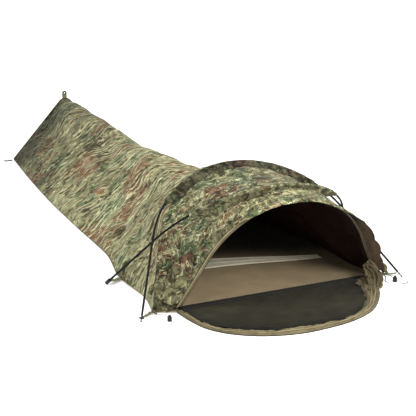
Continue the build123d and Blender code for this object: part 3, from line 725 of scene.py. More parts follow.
def make_body():
    """The long body of the bag behind the rear hoop."""
    stations = np.linspace(REAR_STATION, len(SECTIONS) - 1, 420)[:, None]
    shares = np.linspace(0, 1, 190)[None, :]
    points = cover_points(stations, shares)
    cloth = cloth_coordinates(points)
    points = displaced(points, body_folds(points, cloth))
    piece = cover_panel("body_cloth", points, CAMO_BODY, cloth)
    y = points[..., 1]
    # Painted shade: darker towards the foot, on the left of the foot's steep slope, and just behind the rear
    # hoop
    foot_shade = step(1.06, 1.24, y) * step(-0.02, 0.12, -points[..., 0])
    tone = 1 - 0.34 * step(0.15, 1.1, y) - 0.42 * foot_shade - 0.15 * (1 - step(-0.6, -0.1, y))
    add_print(piece, points, BODY_PRINT, 1, tone, 0.050)
    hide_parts("body_cover")
    return points


def make_hood_front(shares, seam):
    """The hood from the mouth's edge to the front hoop's seam."""
    rows = np.linspace(0, 1, 90)[:, None]
    points = cover_points(rows * seam[None, :], shares[None, :] * np.ones_like(rows))
    cloth = cloth_coordinates(points)
    points = displaced(points, hood_folds(points, cloth) * (np.sin(rows * np.pi) ** 0.45))
    piece = cover_panel("hood_front_cloth", points, CAMO_HOOD, cloth)
    # Painted shade: the hood's cheeks darker low down
    cheek = 1 - 0.50 * (1 - step(0.03, 0.34, points[..., 2]))
    add_print(piece, points, HOOD_PRINT, 5, cheek, CALM)
    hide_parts("hood_front_panel")
    return points


def make_roof_crescent(shares):
    """The crescent of the roof between the two hoops' seams."""
    seam, _ = seam_station(shares)
    rows = np.linspace(0, 1, 60)[:, None]
    stations = seam[None, :] + rows * (REAR_STATION - seam[None, :])
    points = cover_points(stations, shares[None, :] * np.ones_like(rows))
    cloth = cloth_coordinates(points)
    sag = np.sin(rows * np.pi) * -0.006
    points = displaced(points, hood_folds(points, cloth) * np.sin(rows * np.pi) ** 0.5 + sag)
    piece = cover_panel("roof_crescent_cloth", points, CAMO_HOOD, cloth)
    # 0.93: a little painted shade over the crescent
    add_print(piece, points, CRESCENT_PRINT, 9, 0.93, CALM)
    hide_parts("roof_crescent_panel")
    return points


body_points = make_body()
hood_shares = np.linspace(0, 1, 210)
hood_seam, seam_meets = seam_station(hood_shares)
hood_points = make_hood_front(hood_shares, hood_seam)
between_hoops = hood_shares[seam_meets]
crescent_points = make_roof_crescent(np.linspace(between_hoops[0], between_hoops[-1], 170))


def surface_tree(grids):
    """The grids as one surface for nearest-point questions."""
    corners, faces = [], []
    for grid in grids:
        faces.extend(quads(point_numbers(grid) + len(corners)))
        corners.extend(Vector(p) for p in grid.reshape(-1, 3))
    return BVHTree.FromPolygons(corners, faces)


COVER = surface_tree([body_points, hood_points, crescent_points])


# ---- shapes swept or draped by code
def smooth_curve(points, count):
    """Evenly spaced points on a smooth curve through the given ones."""
    points = np.asarray(points, float)
    points = np.vstack([2 * points[0] - points[1], points, 2 * points[-1] - points[-2]])
    fine = []
    for a, b, c, d in zip(points, points[1:], points[2:], points[3:]):
        for t in np.linspace(0, 1, 24, endpoint=False):
            bend = (2 * a - 5 * b + 4 * c - d) * t * t
            twist = (3 * b - a - 3 * c + d) * t**3
            fine.append(0.5 * (2 * b + (c - a) * t + bend + twist))
    fine.append(points[-2])
    fine = np.array(fine)
    run = run_along(fine)
    return picked(fine, run, np.linspace(0, run[-1], count))


def frames_along(path, up):
    """Tangent, side and upward direction at each point of a path."""
    tangent = unit(np.gradient(path, axis=0))
    up = np.broadcast_to(np.asarray(up, float), path.shape)
    side = unit(np.cross(tangent, up))
    return tangent, side, unit(np.cross(side, tangent))


def swept(name, path, up, profile, material, body, scale=None, closed=False):
    """A profile of (side, up) offsets carried along a path, with closed ends."""
    path = np.asarray(path, float)
    _, side, lift = frames_along(path, up)
    profile = np.asarray(profile, float)
    scale = np.ones(len(path)) if scale is None else np.asarray(scale, float)
    offsets = side[:, None, :] * profile[None, :, :1] + lift[:, None, :] * profile[None, :, 1:2]
    grid = path[:, None, :] + scale[:, None, None] * offsets
    index = point_numbers(grid)
    index = np.hstack([index, index[:, :1]])
    if closed:
        index = np.vstack([index, index[:1]])
    faces = quads(index)
    if not closed:
        faces.append(index[0, :-1].tolist())
        faces.append(index[-1, :-1][::-1].tolist())
    piece = link_mesh(name, grid.reshape(-1, 3), faces, [material], body)
    store(piece, "cloth", cloth_coordinates(grid))
    return piece


def round_profile(radius, count=10):
    """A circle for swept."""
    turns = np.linspace(0, 2 * np.pi, count, endpoint=False)
    return np.stack([radius * np.cos(turns), radius * np.sin(turns)], axis=1)


# Pitch of a row of bars, and each bar's length, width and height
ZIP_TEETH = (0.0026, 0.003, 0.0017, 0.0022)
HEM_STITCHES = (0.0055, 0.0034, 0.0006, 0.0006)
SEAM_STITCHES = (0.006, 0.0036, 0.0007, 0.0007)
# Where a bar's four rings lie along it, and how thick each is
BAR_RINGS = ((-1.0, 0.6), (-0.6, 1.0), (0.6, 1.0), (1.0, 0.6))
SQUARE = ((-1, -1), (1, -1), (1, 1), (-1, 1))


def row_of_bars(name, path, up, bars, material, body, across=False):
    """Small bars along a path: stitches, or a zipper's teeth where across is set."""
    pitch, length, width, height = bars
    run = run_along(path)
    at = np.arange(pitch / 2, run[-1], pitch)
    centres = picked(path, run, at)
    ups = picked(np.broadcast_to(np.asarray(up, float), path.shape), run, at)
    tangent, side, lift = frames_along(centres, ups)
    axes = (side, tangent) if across else (tangent, side)
    points, faces = [], []
    for centre, long_way, wide_way, high_way in zip(centres, *axes, lift):
        start = len(points)
        for reach, taper in BAR_RINGS:
            for wide, high in SQUARE:
                place = centre + long_way * reach * length / 2
                place = place + wide_way * wide * taper * width / 2
                points.append(place + high_way * high * taper * height / 2)
        for ring in range(3):
            for k in range(4):
                low, high = start + 4 * ring, start + 4 * ring + 4
                faces.append((low + k, low + (k + 1) % 4, high + (k + 1) % 4, high + k))
        faces.append((start + 3, start + 2, start + 1, start))
        faces.append((start + 12, start + 13, start + 14, start + 15))
    piece = link_mesh(name, points, faces, [material], body, smooth=False)
    store(piece, "cloth", np.array(points))
    return piece


def zip_teeth(name, path, up, body):
    """One side of the zipper's teeth."""
    return row_of_bars(name, path, up, ZIP_TEETH, BLACK_PLASTIC, body, across=True)


def stitches(name, path, up, bars, body="root"):
    """A row of stitches."""
    row_of_bars(name, path, up, bars, THREAD, body)


# ---- foot end
END_Y = FEET_Y + SECTIONS[-1][1]
END_HALF = SECTIONS[-1][3]


PEAK_Z = 0.32  # where the foot end's creases run together
FOOT_BULGE = 0.0035


def make_foot_end():
    """The flat end of the bag, drawn up to its peak, with creases that run down from it."""
    rows, shares = share_grid(60, 90)
    arch = cover_points(np.full_like(shares, len(SECTIONS) - 1.0), shares)
    base = joined((2 * shares - 1) * END_HALF, END_Y, BASE_Z)
    points = arch + rows[..., None] * (base - arch)
    middle = np.sin(np.pi * rows) * np.sin(np.pi * shares)
    from_peak = np.arctan2(points[..., 0], PEAK_Z - points[..., 2])
    crease = lattice_noise(from_peak * 9.0, points[..., 2] * 4.0, 61) * 0.0022
    points[..., 1] += FOOT_BULGE * middle**0.6 + crease * middle**0.5
    cloth = joined(points[..., 0], points[..., 2], 0.0)
    piece = cover_panel("foot_end_cloth", points, CAMO_HOOD, cloth)
    # 0.8: painted shade on the end, which faces away from the light
    add_print(piece, points, FOOT_PRINT, 13, 0.8, 0.03)
    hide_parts("foot_end_panel")
    edge = cover_points(np.full(120, len(SECTIONS) - 1.0), np.linspace(0.004, 0.996, 120))
    swept("foot_end_seam", edge, (0, 1, 0), round_profile(0.0022, 8), TAN_DARK, "root")


make_foot_end()

# ---- floor
SILL_Y = -0.945
# Heights of the sheets that lie on the ground
FLOOR_Z = 0.0022
BAND_Z = 0.0039
SILL_Z = 0.0043
NET_Z = 0.0062
DOOR_Z = 0.0016
DOOR_OUTSIDE_Z = 0.0005
# The floor's reach to either side of the middle at the mouth
MOUTH_LEFT = 0.398
MOUTH_RIGHT = 0.462
THICK_CLOTH = 0.001  # thickness of the floor's and the door's cloth


def floor_half(y):
    """The floor sheet's half width at y."""
    stations = np.linspace(REAR_STATION, len(SECTIONS) - 1, 400)
    table = section_at(stations)
    return np.interp(y, FEET_Y + table[:, 1], table[:, 3]) + 0.001


def band_middle(x):
    """Where the pale band's middle crosses the floor at x."""
    return -0.522 - 0.22 * (x + 0.07) + 0.010 * np.cos(x * 9.0)


def make_floor():
    """One sheet from the sill to the foot, turned up a little where it meets the cover."""
    rows = np.linspace(SILL_Y, END_Y, 220)[:, None]
    shares = np.linspace(-1, 1, 90)[None, :]
    half = floor_half(rows)
    mouth = 1 - np.clip((rows - SILL_Y) / 0.036, 0, 1)
    left = -half + mouth * (half - MOUTH_LEFT)
    right = half + mouth * (MOUTH_RIGHT - half)
    x = left + (shares + 1) / 2 * (right - left)
    inside = 1 - np.abs(shares) ** 8
    wave = layered_noise(x * 5.0, rows * 4.0, 71, 2) * 0.0009 * inside * step(0.0, 0.06, rows - SILL_Y)
    turned_up = np.clip((np.abs(shares) - 0.97) / 0.03, 0, 1)
    z = FLOOR_Z + wave + 0.0031 * turned_up * step(0.0, 0.05, rows - SILL_Y)
    points = joined(x, rows, z)
    piece = grid_piece("floor_cloth", points, [FLOOR_CLOTH, TAN_DARK], "root", THICK_CLOTH)
    # Painted shade: the floor darker behind the pale band, inside the bag, and towards its right side
    behind_band = step(0.03, 0.16, points[..., 1] - band_middle(points[..., 0]))
    store_painted_shade(piece, (1 - 0.72 * behind_band) * (1 - 0.22 * step(-0.05, 0.35, points[..., 0])))
    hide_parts("floor_panel")


make_floor()

# The band's welts: where they run and how wide, as shares of its half width, then their height
WELTS = (-0.82, 0.0, 0.82)
WELT_WIDTH = 0.09
WELT_HEIGHT = 0.0026


def make_seam_band():
    """The pale taped band that curves across the floor, with three raised welts."""
    x = np.linspace(-0.37, 0.38, 150)[None, :]
    rows = np.linspace(-1, 1, 40)[:, None]
    width = np.clip(0.110 - 0.16 * (x + 0.07), 0.042, 0.130)
    y = band_middle(x) + rows * width / 2
    welts = sum(np.exp(-(((rows - middle) / WELT_WIDTH) ** 2)) for middle in WELTS)
    points = joined(x, y, BAND_Z + WELT_HEIGHT * welts)
    piece = grid_piece("floor_seam_band", points, [TAPE, TAPE], "root", 0.0006)
    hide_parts("floor_seam_tapes")


make_seam_band()

# ---- the mouth's edge
RIM_LEAN = math.radians(-14.0)
RIM_STEP = 0.002  # how far either way along the edge its direction is taken
RIM_NORMAL = np.array((0.0, -math.cos(RIM_LEAN), math.sin(RIM_LEAN)))


def rim_line(shares, forward=0.0, out=0.0):
    """Points along the mouth's edge, moved forward of the hood's front edge and outward."""
    shares = np.asarray(shares, float)
    line = cover_points(np.zeros_like(shares), shares)
    outward = rim_outward(shares)
    forward, out = np.broadcast_to(forward, shares.shape), np.broadcast_to(out, shares.shape)
    return line + RIM_NORMAL * forward[..., None] + outward * out[..., None]


def rim_outward(shares):
    """The direction out of the mouth, along the hood's front edge."""
    ahead = cover_points(np.zeros_like(shares), np.clip(shares + RIM_STEP, 0, 1))
    behind = cover_points(np.zeros_like(shares), np.clip(shares - RIM_STEP, 0, 1))
    return unit(np.cross(ahead - behind, RIM_NORMAL)) * -1.0


# The binding's outline: offsets along the mouth's normal and outward
BINDING = (
    (-0.0045, 0.0008), (-0.0047, -0.0015), (-0.0045, -0.004), (0.0, -0.0046), (0.0045, -0.004),
    (0.0049, -0.0015), (0.0045, 0.0008), (0.0, 0.0014),
)
# How far each part lies forward of the hood's front edge, and outward
BINDING_AT = (0.0049, 0.0)
TEETH_AT = (0.0185, -0.0034)
STITCHES_AT = (-0.004, 0.0028)
FLAP_AT = (-0.004, 0.0035)
FOLDED_FLAP_AT = (0.004, 0.004)
# The zipper tape's rear and front edge, forward of the hood, and how far outward it lies
TAPE_REACH = (0.0095, 0.0200)
TAPE_OUT = -0.0015


def make_rim():
    """Binding, zipper tape, teeth and stitches round the mouth."""
    shares = np.linspace(0.003, 0.997, 260)
    outward = rim_outward(shares)
    path = rim_line(shares, *BINDING_AT)
    binding = swept("rim_binding", path, outward, BINDING, PIPING, "root")
    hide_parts("hood_rim_binding")
    rows = np.linspace(*TAPE_REACH, 8)[:, None]
    tape = rim_line(shares[None, :] + 0 * rows, rows + 0 * shares[None, :], TAPE_OUT)
    tape_piece = grid_piece("rim_zip_tape", tape, [TAN_DARK, TAN_DARK], "root", 0.0009)
    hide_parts("hood_zip_tape")
    teeth = zip_teeth("rim_zip_teeth", rim_line(shares[2:-2], *TEETH_AT), outward[2:-2], "root")
    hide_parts("hood_zip_coil")
    stitches("rim_stitches", rim_line(shares, *STITCHES_AT), outward, HEM_STITCHES)


make_rim()

PAINTED_SHADOW_SPAN = (0.705, 0.765)  # the dark sheet that paints the shadow in the flap's gap, as shares of the way round the mouth


def make_storm_flap():
    """A flap of hood fabric over the zipper. It stands away on the right and is narrow on the left."""
    shares = np.linspace(0.016, 0.984, 230)[None, :]
    rows = np.linspace(0, 1, 26)[:, None]
    right = step(0.62, 0.86, shares) * (1 - 0.45 * step(0.93, 0.985, shares))
    top = step(0.26, 0.40, shares)
    width = 0.005 + 0.026 * top + 0.020 * right
    flare = 0.08 + 0.80 * step(0.64, 0.86, shares)
    outward = rim_outward(shares)
    start = rim_line(shares, *FLAP_AT)
    heading = unit(RIM_NORMAL * (1 - 0.45 * flare[..., None]) + outward * flare[..., None])
    wave = layered_noise(shares * 34 + 2, rows * 1.2, 81, 2) * 0.0035 * rows * (0.4 + right)
    wave = wave + ridged(shares * 16.0, rows * 2.0 + shares * 6.0, 83) * 0.0035 * rows * right
    edge = lattice_noise(shares * 40, 0 * shares, 85) * 0.0022
    reach = rows * (width + edge * rows)
    curl = np.sin(rows * np.pi * 0.5) * 0.004 * (1 - right)
    tuck = -0.010 * rows**4 * (1 - right) * top
    points = start + heading * reach[..., None] + outward * (wave + curl + tuck)[..., None]
    points[..., 2] = np.maximum(points[..., 2], 0.006)
    turned = points[:, ::-1]
    cloth = cloth_coordinates(points)[:, ::-1]
    piece = grid_piece("storm_flap", turned, [CAMO_HOOD, FLAP_LINER], "root", CLOTH, cloth)
    add_print(piece, turned, HOOD_PRINT, 5, 1.0, CALM)
    # A dark sheet just inside the flap paints the shadow in the gap under it
    inner = points - outward * 0.0016
    keep = (shares[0] > PAINTED_SHADOW_SPAN[0]) & (shares[0] < PAINTED_SHADOW_SPAN[1])
    patch = inner[4:22, keep]
    cloth = cloth_coordinates(patch)[:, ::-1]
    grid_piece("flap_painted_shadow", patch[:, ::-1], [NET_EDGE, NET_EDGE], "root", 0.0007, cloth)


make_storm_flap()

FLAP_SMOOTHING = 9
FLAP_BACK = Vector((-0.25, 1.0, 0.05)).normalized()
FLAP_OUT = Vector((-1.0, -0.15, 0.35)).normalized()


def make_folded_flap():
    """The left side of the flap, folded back over the cheek."""
    shares = np.linspace(0.022, 0.34, 130)
    rows = np.linspace(0, 1, 34)
    width = 0.088 * (1 - step(0.14, 0.33, shares)) + 0.006
    grid = np.zeros((len(rows), len(shares), 3))
    grid[0] = rim_line(shares, *FOLDED_FLAP_AT)
    for i, row in enumerate(rows[1:], start=1):
        for k, share in enumerate(shares):
            back_by = row * width[k] * (1 + 0.10 * math.sin(share * 60))
            near, normal, _, _ = COVER.find_nearest(Vector(grid[0, k]) + FLAP_BACK * back_by)
            if normal.dot(FLAP_OUT) < 0:
                normal = -normal
            ripple = 0.0026 * math.sin(share * 70 + row * 2.5) + 0.0018 * math.sin(share * 151 + row * 5.0)
            arch = 0.012 * math.sin(math.pi * min(1.0, row * 0.85))
            grid[i, k] = near + normal * (0.0045 + arch + (0.005 + 1.6 * ripple) * row)
    for _ in range(FLAP_SMOOTHING):
        around = (grid[:-2, 1:-1] + grid[2:, 1:-1] + grid[1:-1, :-2] + grid[1:-1, 2:]) / 4
        free_edge = (grid[-1, :-2] + grid[-1, 2:] + grid[-2, 1:-1]) / 3
        grid[1:-1, 1:-1] = around
        grid[-1, 1:-1] = free_edge
    grid[..., 2] = np.maximum(grid[..., 2], 0.005)
    piece = grid_piece("folded_flap_left", grid, [CAMO_HOOD, FLAP_LINER], "root", 0.0009)
    # 0.68: painted shade over the folded flap
    add_print(piece, grid, FOLD_PRINT, 25, 0.68, CALM)


make_folded_flap()

# ---- sleeves over the two hoops
# Y of the feet, lean, height along the lean and radius of the crown
HOOPS = {
    "rear": (FEET_Y, HOOP_LEAN, 0.585, 0.450),
    "front": (FRONT_FEET_Y, -HOOP_LEAN, 0.590, 0.430),
}


def hoop_points(hoop, angles):
    """Points on the crown of a hoop at angles measured from +X."""
    feet_y, lean, top, radius = HOOPS[hoop]
    up = top - radius + radius * np.sin(angles)
    return joined(radius * np.cos(angles), feet_y + up * math.sin(lean), HOOP_FOOT_Z + up * math.cos(lean))


SLEEVE_SPAN = (136, 44)  # degrees round the crown, from left to right


def make_sleeve(hoop, towards, seed, fullness, brightness, web_brightness):
    """A ruched sleeve: round the pole, then down to its seam on the cover."""
    poles = hoop_points(hoop, np.radians(np.linspace(*SLEEVE_SPAN, 300)))
    run = run_along(poles)
    tangent = unit(np.gradient(poles, axis=0))
    ends = 1 - np.sin(np.clip((run / run[-1]), 0, 1) * np.pi) ** 0.5
    ruches = np.clip(0.5 + 0.55 * layered_noise(run * 55.0, 0 * run, seed, 2), 0, 1)
    taper = step(0.0, 0.085, np.minimum(run, run[-1] - run))
    grid = []
    for k, pole in enumerate(poles):
        near, _, _, _ = COVER.find_nearest(Vector(pole) + Vector(towards))
        down = np.array(near) - pole
        depth = np.linalg.norm(down)
        down = down / depth
        depth *= 0.20 + 0.80 * taper[k]
        side = np.cross(tangent[k], down)
        side /= np.linalg.norm(side)
        loose = 0.35 + 0.65 * ends[k]
        radius = 0.0060 + 0.0022 * ruches[k] * loose
        belly = fullness * (0.0035 + 0.0050 * ruches[k] * loose + 0.0015 * math.sin(run[k] * 90 + seed))
        web = [(depth + 0.001, 0.002), (depth * 0.80, 0.3 * belly + 0.002)]
        web += [(depth * 0.55, belly), (depth * 0.28, belly + 0.001)]
        over = [(-radius * math.sin(t), radius * math.cos(t)) for t in np.linspace(0, math.pi, 9)]
        ring = web + over + [(below, -beside) for below, beside in web[::-1]]
        grid.append([pole + down * below + side * beside for below, beside in ring])
    grid = np.array(grid)
    piece = grid_piece(f"{hoop}_sleeve_cloth", grid, [CAMO_SLEEVE], "root")
    # Painted light and shade: ruches lighter and darker, and the web down to the seam darker
    shade = np.ones(grid.shape[1])
    shade[:4] = shade[-4:] = web_brightness
    tone = (brightness[0] + brightness[1] * ruches)[:, None] * shade[None, :]
    add_print(piece, grid, HOOD_PRINT, seed, tone, CALM)
    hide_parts(f"{hoop}_hoop_sleeve")


# Towards the seam from the pole, seed, fullness, then the painted light and shade: least brightness and what
# the ruches add, and the web's share
make_sleeve("rear", (0.0, -0.040, -0.012), 31, 1.0, (0.38, 0.90), 0.55)
make_sleeve("front", (0.0, 0.006, -0.02), 37, 0.35, (1.15, 0.60), 0.85)

# ---- door, net and sill
# X and Y round the door's edge and the net's, laid on the ground, from left to right
DOOR_EDGE = (
    (-0.399, -0.9465), (-0.391, -1.035), (-0.366, -1.140), (-0.302, -1.226), (-0.205, -1.288),
    (-0.085, -1.3195), (0.030, -1.3165), (0.150, -1.293), (0.262, -1.236), (0.358, -1.128),
    (0.406, -1.035), (0.413, -0.9465),
)
NET_RIM = (
    (-0.372, -0.9465), (-0.368, -1.035), (-0.352, -1.120), (-0.292, -1.188), (-0.188, -1.258),
    (-0.060, -1.281), (0.060, -1.283), (0.160, -1.262), (0.240, -1.205), (0.300, -1.115),
    (0.335, -1.030), (0.345, -0.9465),
)
# Where the door's sides meet the sill, and the net's
DOOR_SIDES = (-0.390, 0.404)
NET_SIDES = (-0.366, 0.340)


def fan(edge, left, right, rows, columns):
    """Grid of points from the sill line out to an edge in front of it, finest near the edge."""
    outer = smooth_curve(edge, columns)
    share = np.linspace(0, 1, columns)
    inner = np.stack([left + (right - left) * share, np.full(columns, SILL_Y - 0.0015)], axis=1)
    at = (1 - (1 - np.linspace(0, 1, rows)) ** 1.7)[:, None, None]
    return inner[None] + at * (outer - inner)[None], outer


# Each piping's share of the hem's width in from the edge, and its radius
DOOR_PIPING = {"outer": (0.30, 0.0016), "inner": (0.52, 0.0013)}
DOOR_COLUMNS = 330
DOOR_STITCH_IN = 0.0095


def make_door():
    """Door laid forward on the ground: flat cloth with a crumpled hem rolled over its edge."""
    flat, outer = fan(DOOR_EDGE, *DOOR_SIDES, 130, DOOR_COLUMNS)
    to_net = smooth_curve(NET_RIM, DOOR_COLUMNS) - outer
    band = np.linalg.norm(to_net, axis=1)
    from_edge = np.linalg.norm(flat - outer[None], axis=2)
    run = run_along(outer)[None, :]
    across = np.clip(from_edge / np.maximum(band, 0.012), 0, 1.25)
    mound = np.sin(np.pi * np.clip(across / 1.12, 0, 1)) ** 0.7
    crumple = ridged(run * 26.0, across * 1.6, 91) * 0.0022
    crumple = crumple + layered_noise(run * 48.0, across * 3.0, 95, 2) * 0.0018
    wide = step(0.03, 0.07, band)
    z = DOOR_Z + mound * (0.0085 + 0.0055 * wide + crumple * (1.2 + 1.2 * wide))
    z += 0.0022 * np.exp(-(((from_edge - 0.004) / 0.003) ** 2))
    points = np.dstack([flat, z])
    piece = grid_piece("door_cloth", points, [TAN, TAN_DARK], "door", THICK_CLOTH)
    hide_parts("door_panel", "door_rim")
    edge_line = np.column_stack([outer, np.full(len(outer), 0.0030)])
    inward = unit(np.column_stack([to_net, np.zeros(len(outer))]))
    teeth = zip_teeth("door_zip_teeth", edge_line + inward * -0.0002, UP, "door")
    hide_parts("door_zip_coil")
    column = np.arange(DOOR_COLUMNS)
    for name, (share, radius) in DOOR_PIPING.items():
        line = edge_line + inward * (band * share)[:, None]
        lifted = z[np.abs(across - share).argmin(axis=0), column]
        line[:, 2] = np.maximum.reduce([np.roll(lifted, k) for k in range(-3, 4)]) + 0.0006
        swept(f"door_piping_{name}", line[12:-12], UP, round_profile(radius, 8), PIPING, "door")
    line = edge_line + inward * DOOR_STITCH_IN
    line[:, 2] = z[np.abs(from_edge - DOOR_STITCH_IN).argmin(axis=0), column] + 0.0006
    stitches("door_stitches", line[6:-6], UP, HEM_STITCHES, "door")


make_door()


def make_door_outside():
    """The door's outer cloth, the side that shows when the door is up."""
    flat, _ = fan(DOOR_EDGE, *DOOR_SIDES, 30, 160)
    points = joined(flat[..., 0], flat[..., 1], DOOR_OUTSIDE_Z)
    piece = grid_piece("door_outside_cloth", points, [CAMO_HOOD, CAMO_HOOD], "door", 0.0004)
    add_print(piece, points, HOOD_PRINT, 45, 0.9, CALM)


make_door_outside()


def make_net():
    """Mesh panel lying on the door, creased along its lower edge."""
    flat, outer = fan(NET_RIM, *NET_SIDES, 110, 300)
    from_edge = np.linalg.norm(flat - outer[None], axis=2)
    run = run_along(outer)[None, :]
    outward = unit(outer - np.array([[0.0, -1.05]]))[None]
    ragged = layered_noise(run * 26.0, 0 * run, 101, 3) * 0.0058
    flat = flat + outward * (ragged[..., None] * np.exp(-from_edge / 0.02)[..., None])
    near = np.exp(-from_edge / 0.045)
    x, y = flat[..., 0], flat[..., 1]
    swell = layered_noise(x * 6.0, y * 8.0, 105, 2) * 0.0014
    crease = ridged(x * 11.0 + 0.6 * y, y * 30.0, 109) * 0.0036 * near
    z = NET_Z + (swell + crease + 0.002) * step(0.0, 0.03, SILL_Y - y)
    points = np.dstack([flat, np.maximum(z, 0.0048)])
    piece = grid_piece("net_cloth", points, [NET, NET], "net", 0.0006)
    # Painted shade: the net darker towards its rim, with painted light and shade in streaks along its creases
    # there and broad patches of painted sheen
    streaks = lattice_noise(x * 9.0 + 3, y * 26.0, 113) * np.exp(-from_edge / 0.07)
    mottle = lattice_noise(x * 3.5, y * 6.0, 117)
    store_painted_shade(piece, 1 - 0.72 * np.exp(-from_edge / 0.06) + 0.32 * streaks + 0.30 * mottle)
    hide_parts("net_panel", "net_hem")
    rim = points[-1] + np.array((0, 0, 0.0004))
    swept("net_hem_cord", rim[6:-6], UP, round_profile(0.0013, 8), NET_EDGE, "net")


make_net()


FOLD_Y = -0.946  # the line that door and net fold on


def make_sill():
    """Dark strip that joins floor, door and net, bending over the line they fold on."""
    x = np.linspace(-0.375, 0.425, 200)[None, :]
    rows = np.linspace(-0.958, -0.900, 30)[:, None]
    arch = np.exp(-(((rows - FOLD_Y) / 0.009) ** 2))
    rise = 0.0045 + 0.0035 * step(-0.1, 0.3, x)
    z = SILL_Z + rise * arch + lattice_noise(x * 30, rows * 20, 121) * 0.0005 * arch
    points = joined(x, rows, z)
    piece = grid_piece("sill_cloth", points, [NET_EDGE, NET_EDGE], None, 0.0008)
    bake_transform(piece)
    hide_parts("sill_strip")


make_sill()

# The bunched cloth's two side edges: where they start on the door, end beside the rim, and bow between
GATHER_GROUND = ((0.330, -1.085, 0.010), (0.410, -1.060, 0.006))
GATHER_TOP = ((0.378, -0.9640, 0.070), (0.408, -0.9680, 0.094))
GATHER_BOW = ((0.388, -1.012, 0.016), (0.464, -1.005, 0.050))
GATHER_FOLDS = 3.2
GATHER_DEPTH = 0.0060


def make_corner_gather():
    """Bunched cloth at the right corner of the mouth, from the door up beside the rim."""
    v, u = share_grid(50, 60)
    v, u = v[..., None], u[..., None]
    ends = (np.array(pair) for pair in (GATHER_GROUND, GATHER_TOP, GATHER_BOW))
    low, high, middle = (pair[0] + u * (pair[1] - pair[0]) for pair in ends)
    points = (1 - v) ** 2 * low + 2 * v * (1 - v) * middle + v**2 * high
    normal = grid_normals(points)
    wander = 2.4 * lattice_noise(u * 2.5, v * 3.0, 136)
    deep = GATHER_DEPTH * (0.7 + 0.6 * lattice_noise(u * 3.0 + 9, v * 4.0, 138))
    waves = np.sin(u * GATHER_FOLDS * 2 * np.pi + wander) * deep
    waves = waves * (0.5 + 0.5 * np.sin(np.pi * np.clip(v, 0.08, 0.92)))
    points = points + normal * waves + normal * (ridged(u * 6 + v * 3, v * 7, 131) * 0.0042)
    points[..., 2] = np.maximum(points[..., 2], 0.0045)
    piece = grid_piece("corner_gather_right", points, [GATHER, TAN_DARK], None, 0.0012)
    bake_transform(piece)


make_corner_gather()


def make_lobe():
    """Fold of hem cloth that stands out at the foot of the mouth's right side."""
    v, u = share_grid(30, 40)
    turn = np.pi * (0.05 + 0.9 * u)
    reach = 0.030 * np.sin(np.pi * (0.15 + 0.75 * v))
    x = 0.468 + 0.030 * (1 - v) + reach * np.sin(turn) + 0.003 * np.sin(v * 14)
    y = -0.9300 - 0.022 * np.cos(turn) * (0.5 + 0.5 * v)
    z = 0.006 + 0.062 * v + 0.004 * np.sin(u * 11)
    points = joined(x, y, z)
    grid_piece("hem_lobe_right", points, [GATHER, TAN_DARK], "root", 0.0010)


make_lobe()

# ---- webbing, loops and the hanging tab
SIDES = {"left": -1, "right": 1}


def corners_of(node):
    """The lowest and highest corner of a CAD node's box."""
    return (np.array(corner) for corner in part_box(node))


def make_strap(kind, side, end, clear, width, thickness):
    """Flat webbing from the middle of a foot fitting to the cover, a little slack."""
    low, high = corners_of(f"foot_{kind}_{side}")
    start, end = (low + high) / 2, np.array(end)
    along = unit(end - start)
    across = unit(np.cross((0, 0, 1.0), along))
    t = np.linspace(0, 1, 36)[:, None, None]
    w = np.linspace(-1, 1, 9)[None, :, None]
    first = start + along * clear
    points = first + t * (end - first) + across * w * width / 2
    points = points + np.array(UP) * (0.0012 * np.sin(t * np.pi * 5) - 0.002 * np.sin(t * np.pi))
    points[..., 2] = np.maximum(points[..., 2], 0.0022)
    piece = grid_piece(f"{kind}_webbing_{side}", points, [WEBBING, WEBBING], "root", thickness)
    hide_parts(f"{kind}_strap_{side}")


ELASTIC_RADIUS = 0.0015
TOGGLE_GIRTH = (0.55, 0.9, 1.0, 1.06, 1.08, 1.06, 1.0, 0.9, 0.55)


def squared(wave):
    """A cosine or sine with its corners filled out."""
    return np.sign(wave) * np.abs(wave) ** 0.7


TOGGLE_RADIUS = 0.0032
TOGGLE_HALF = 0.0065


def make_peg_loop(side, sign):
    """Elastic ring at a corner of the foot, with a toggle on its outer side."""
    low, high = corners_of(f"peg_loop_{side}")
    centre, half = (low + high) / 2, (high - low) / 2
    turns = np.linspace(0, 2 * np.pi, 64, endpoint=False)
    reach_x, reach_y = half[0] - 0.0017, half[1] - 0.0017
    x = centre[0] + reach_x * squared(np.cos(turns))
    y = centre[1] + reach_y * squared(np.sin(turns))
    loop = joined(x, y, centre[2] + 0.0003 + 0.0003 * np.sin(3 * turns))
    ring = round_profile(ELASTIC_RADIUS)
    piece = swept(f"peg_loop_cord_{side}", loop, UP, ring, ELASTIC, "root", closed=True)
    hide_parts(f"peg_loop_{side}")
    x = centre[0] + sign * (reach_x - 0.001)
    z = max(centre[2] + 0.0012, 0.0038)
    barrel = joined(x, centre[1] + np.linspace(-TOGGLE_HALF, TOGGLE_HALF, len(TOGGLE_GIRTH)), z)
    ring = round_profile(TOGGLE_RADIUS, 14)
    swept(f"peg_toggle_{side}", barrel, UP, ring, BLACK_PLASTIC, "root", TOGGLE_GIRTH)


for side, sign in SIDES.items():
    make_strap("eyelet", side, (sign * 0.486, FEET_Y + 0.062, 0.006), 0.0105, 0.015, 0.0016)
    make_strap("cup", side, (sign * 0.456, FEET_Y + 0.440, 0.007), 0.0090, 0.024, 0.0020)
    make_peg_loop(side, sign)


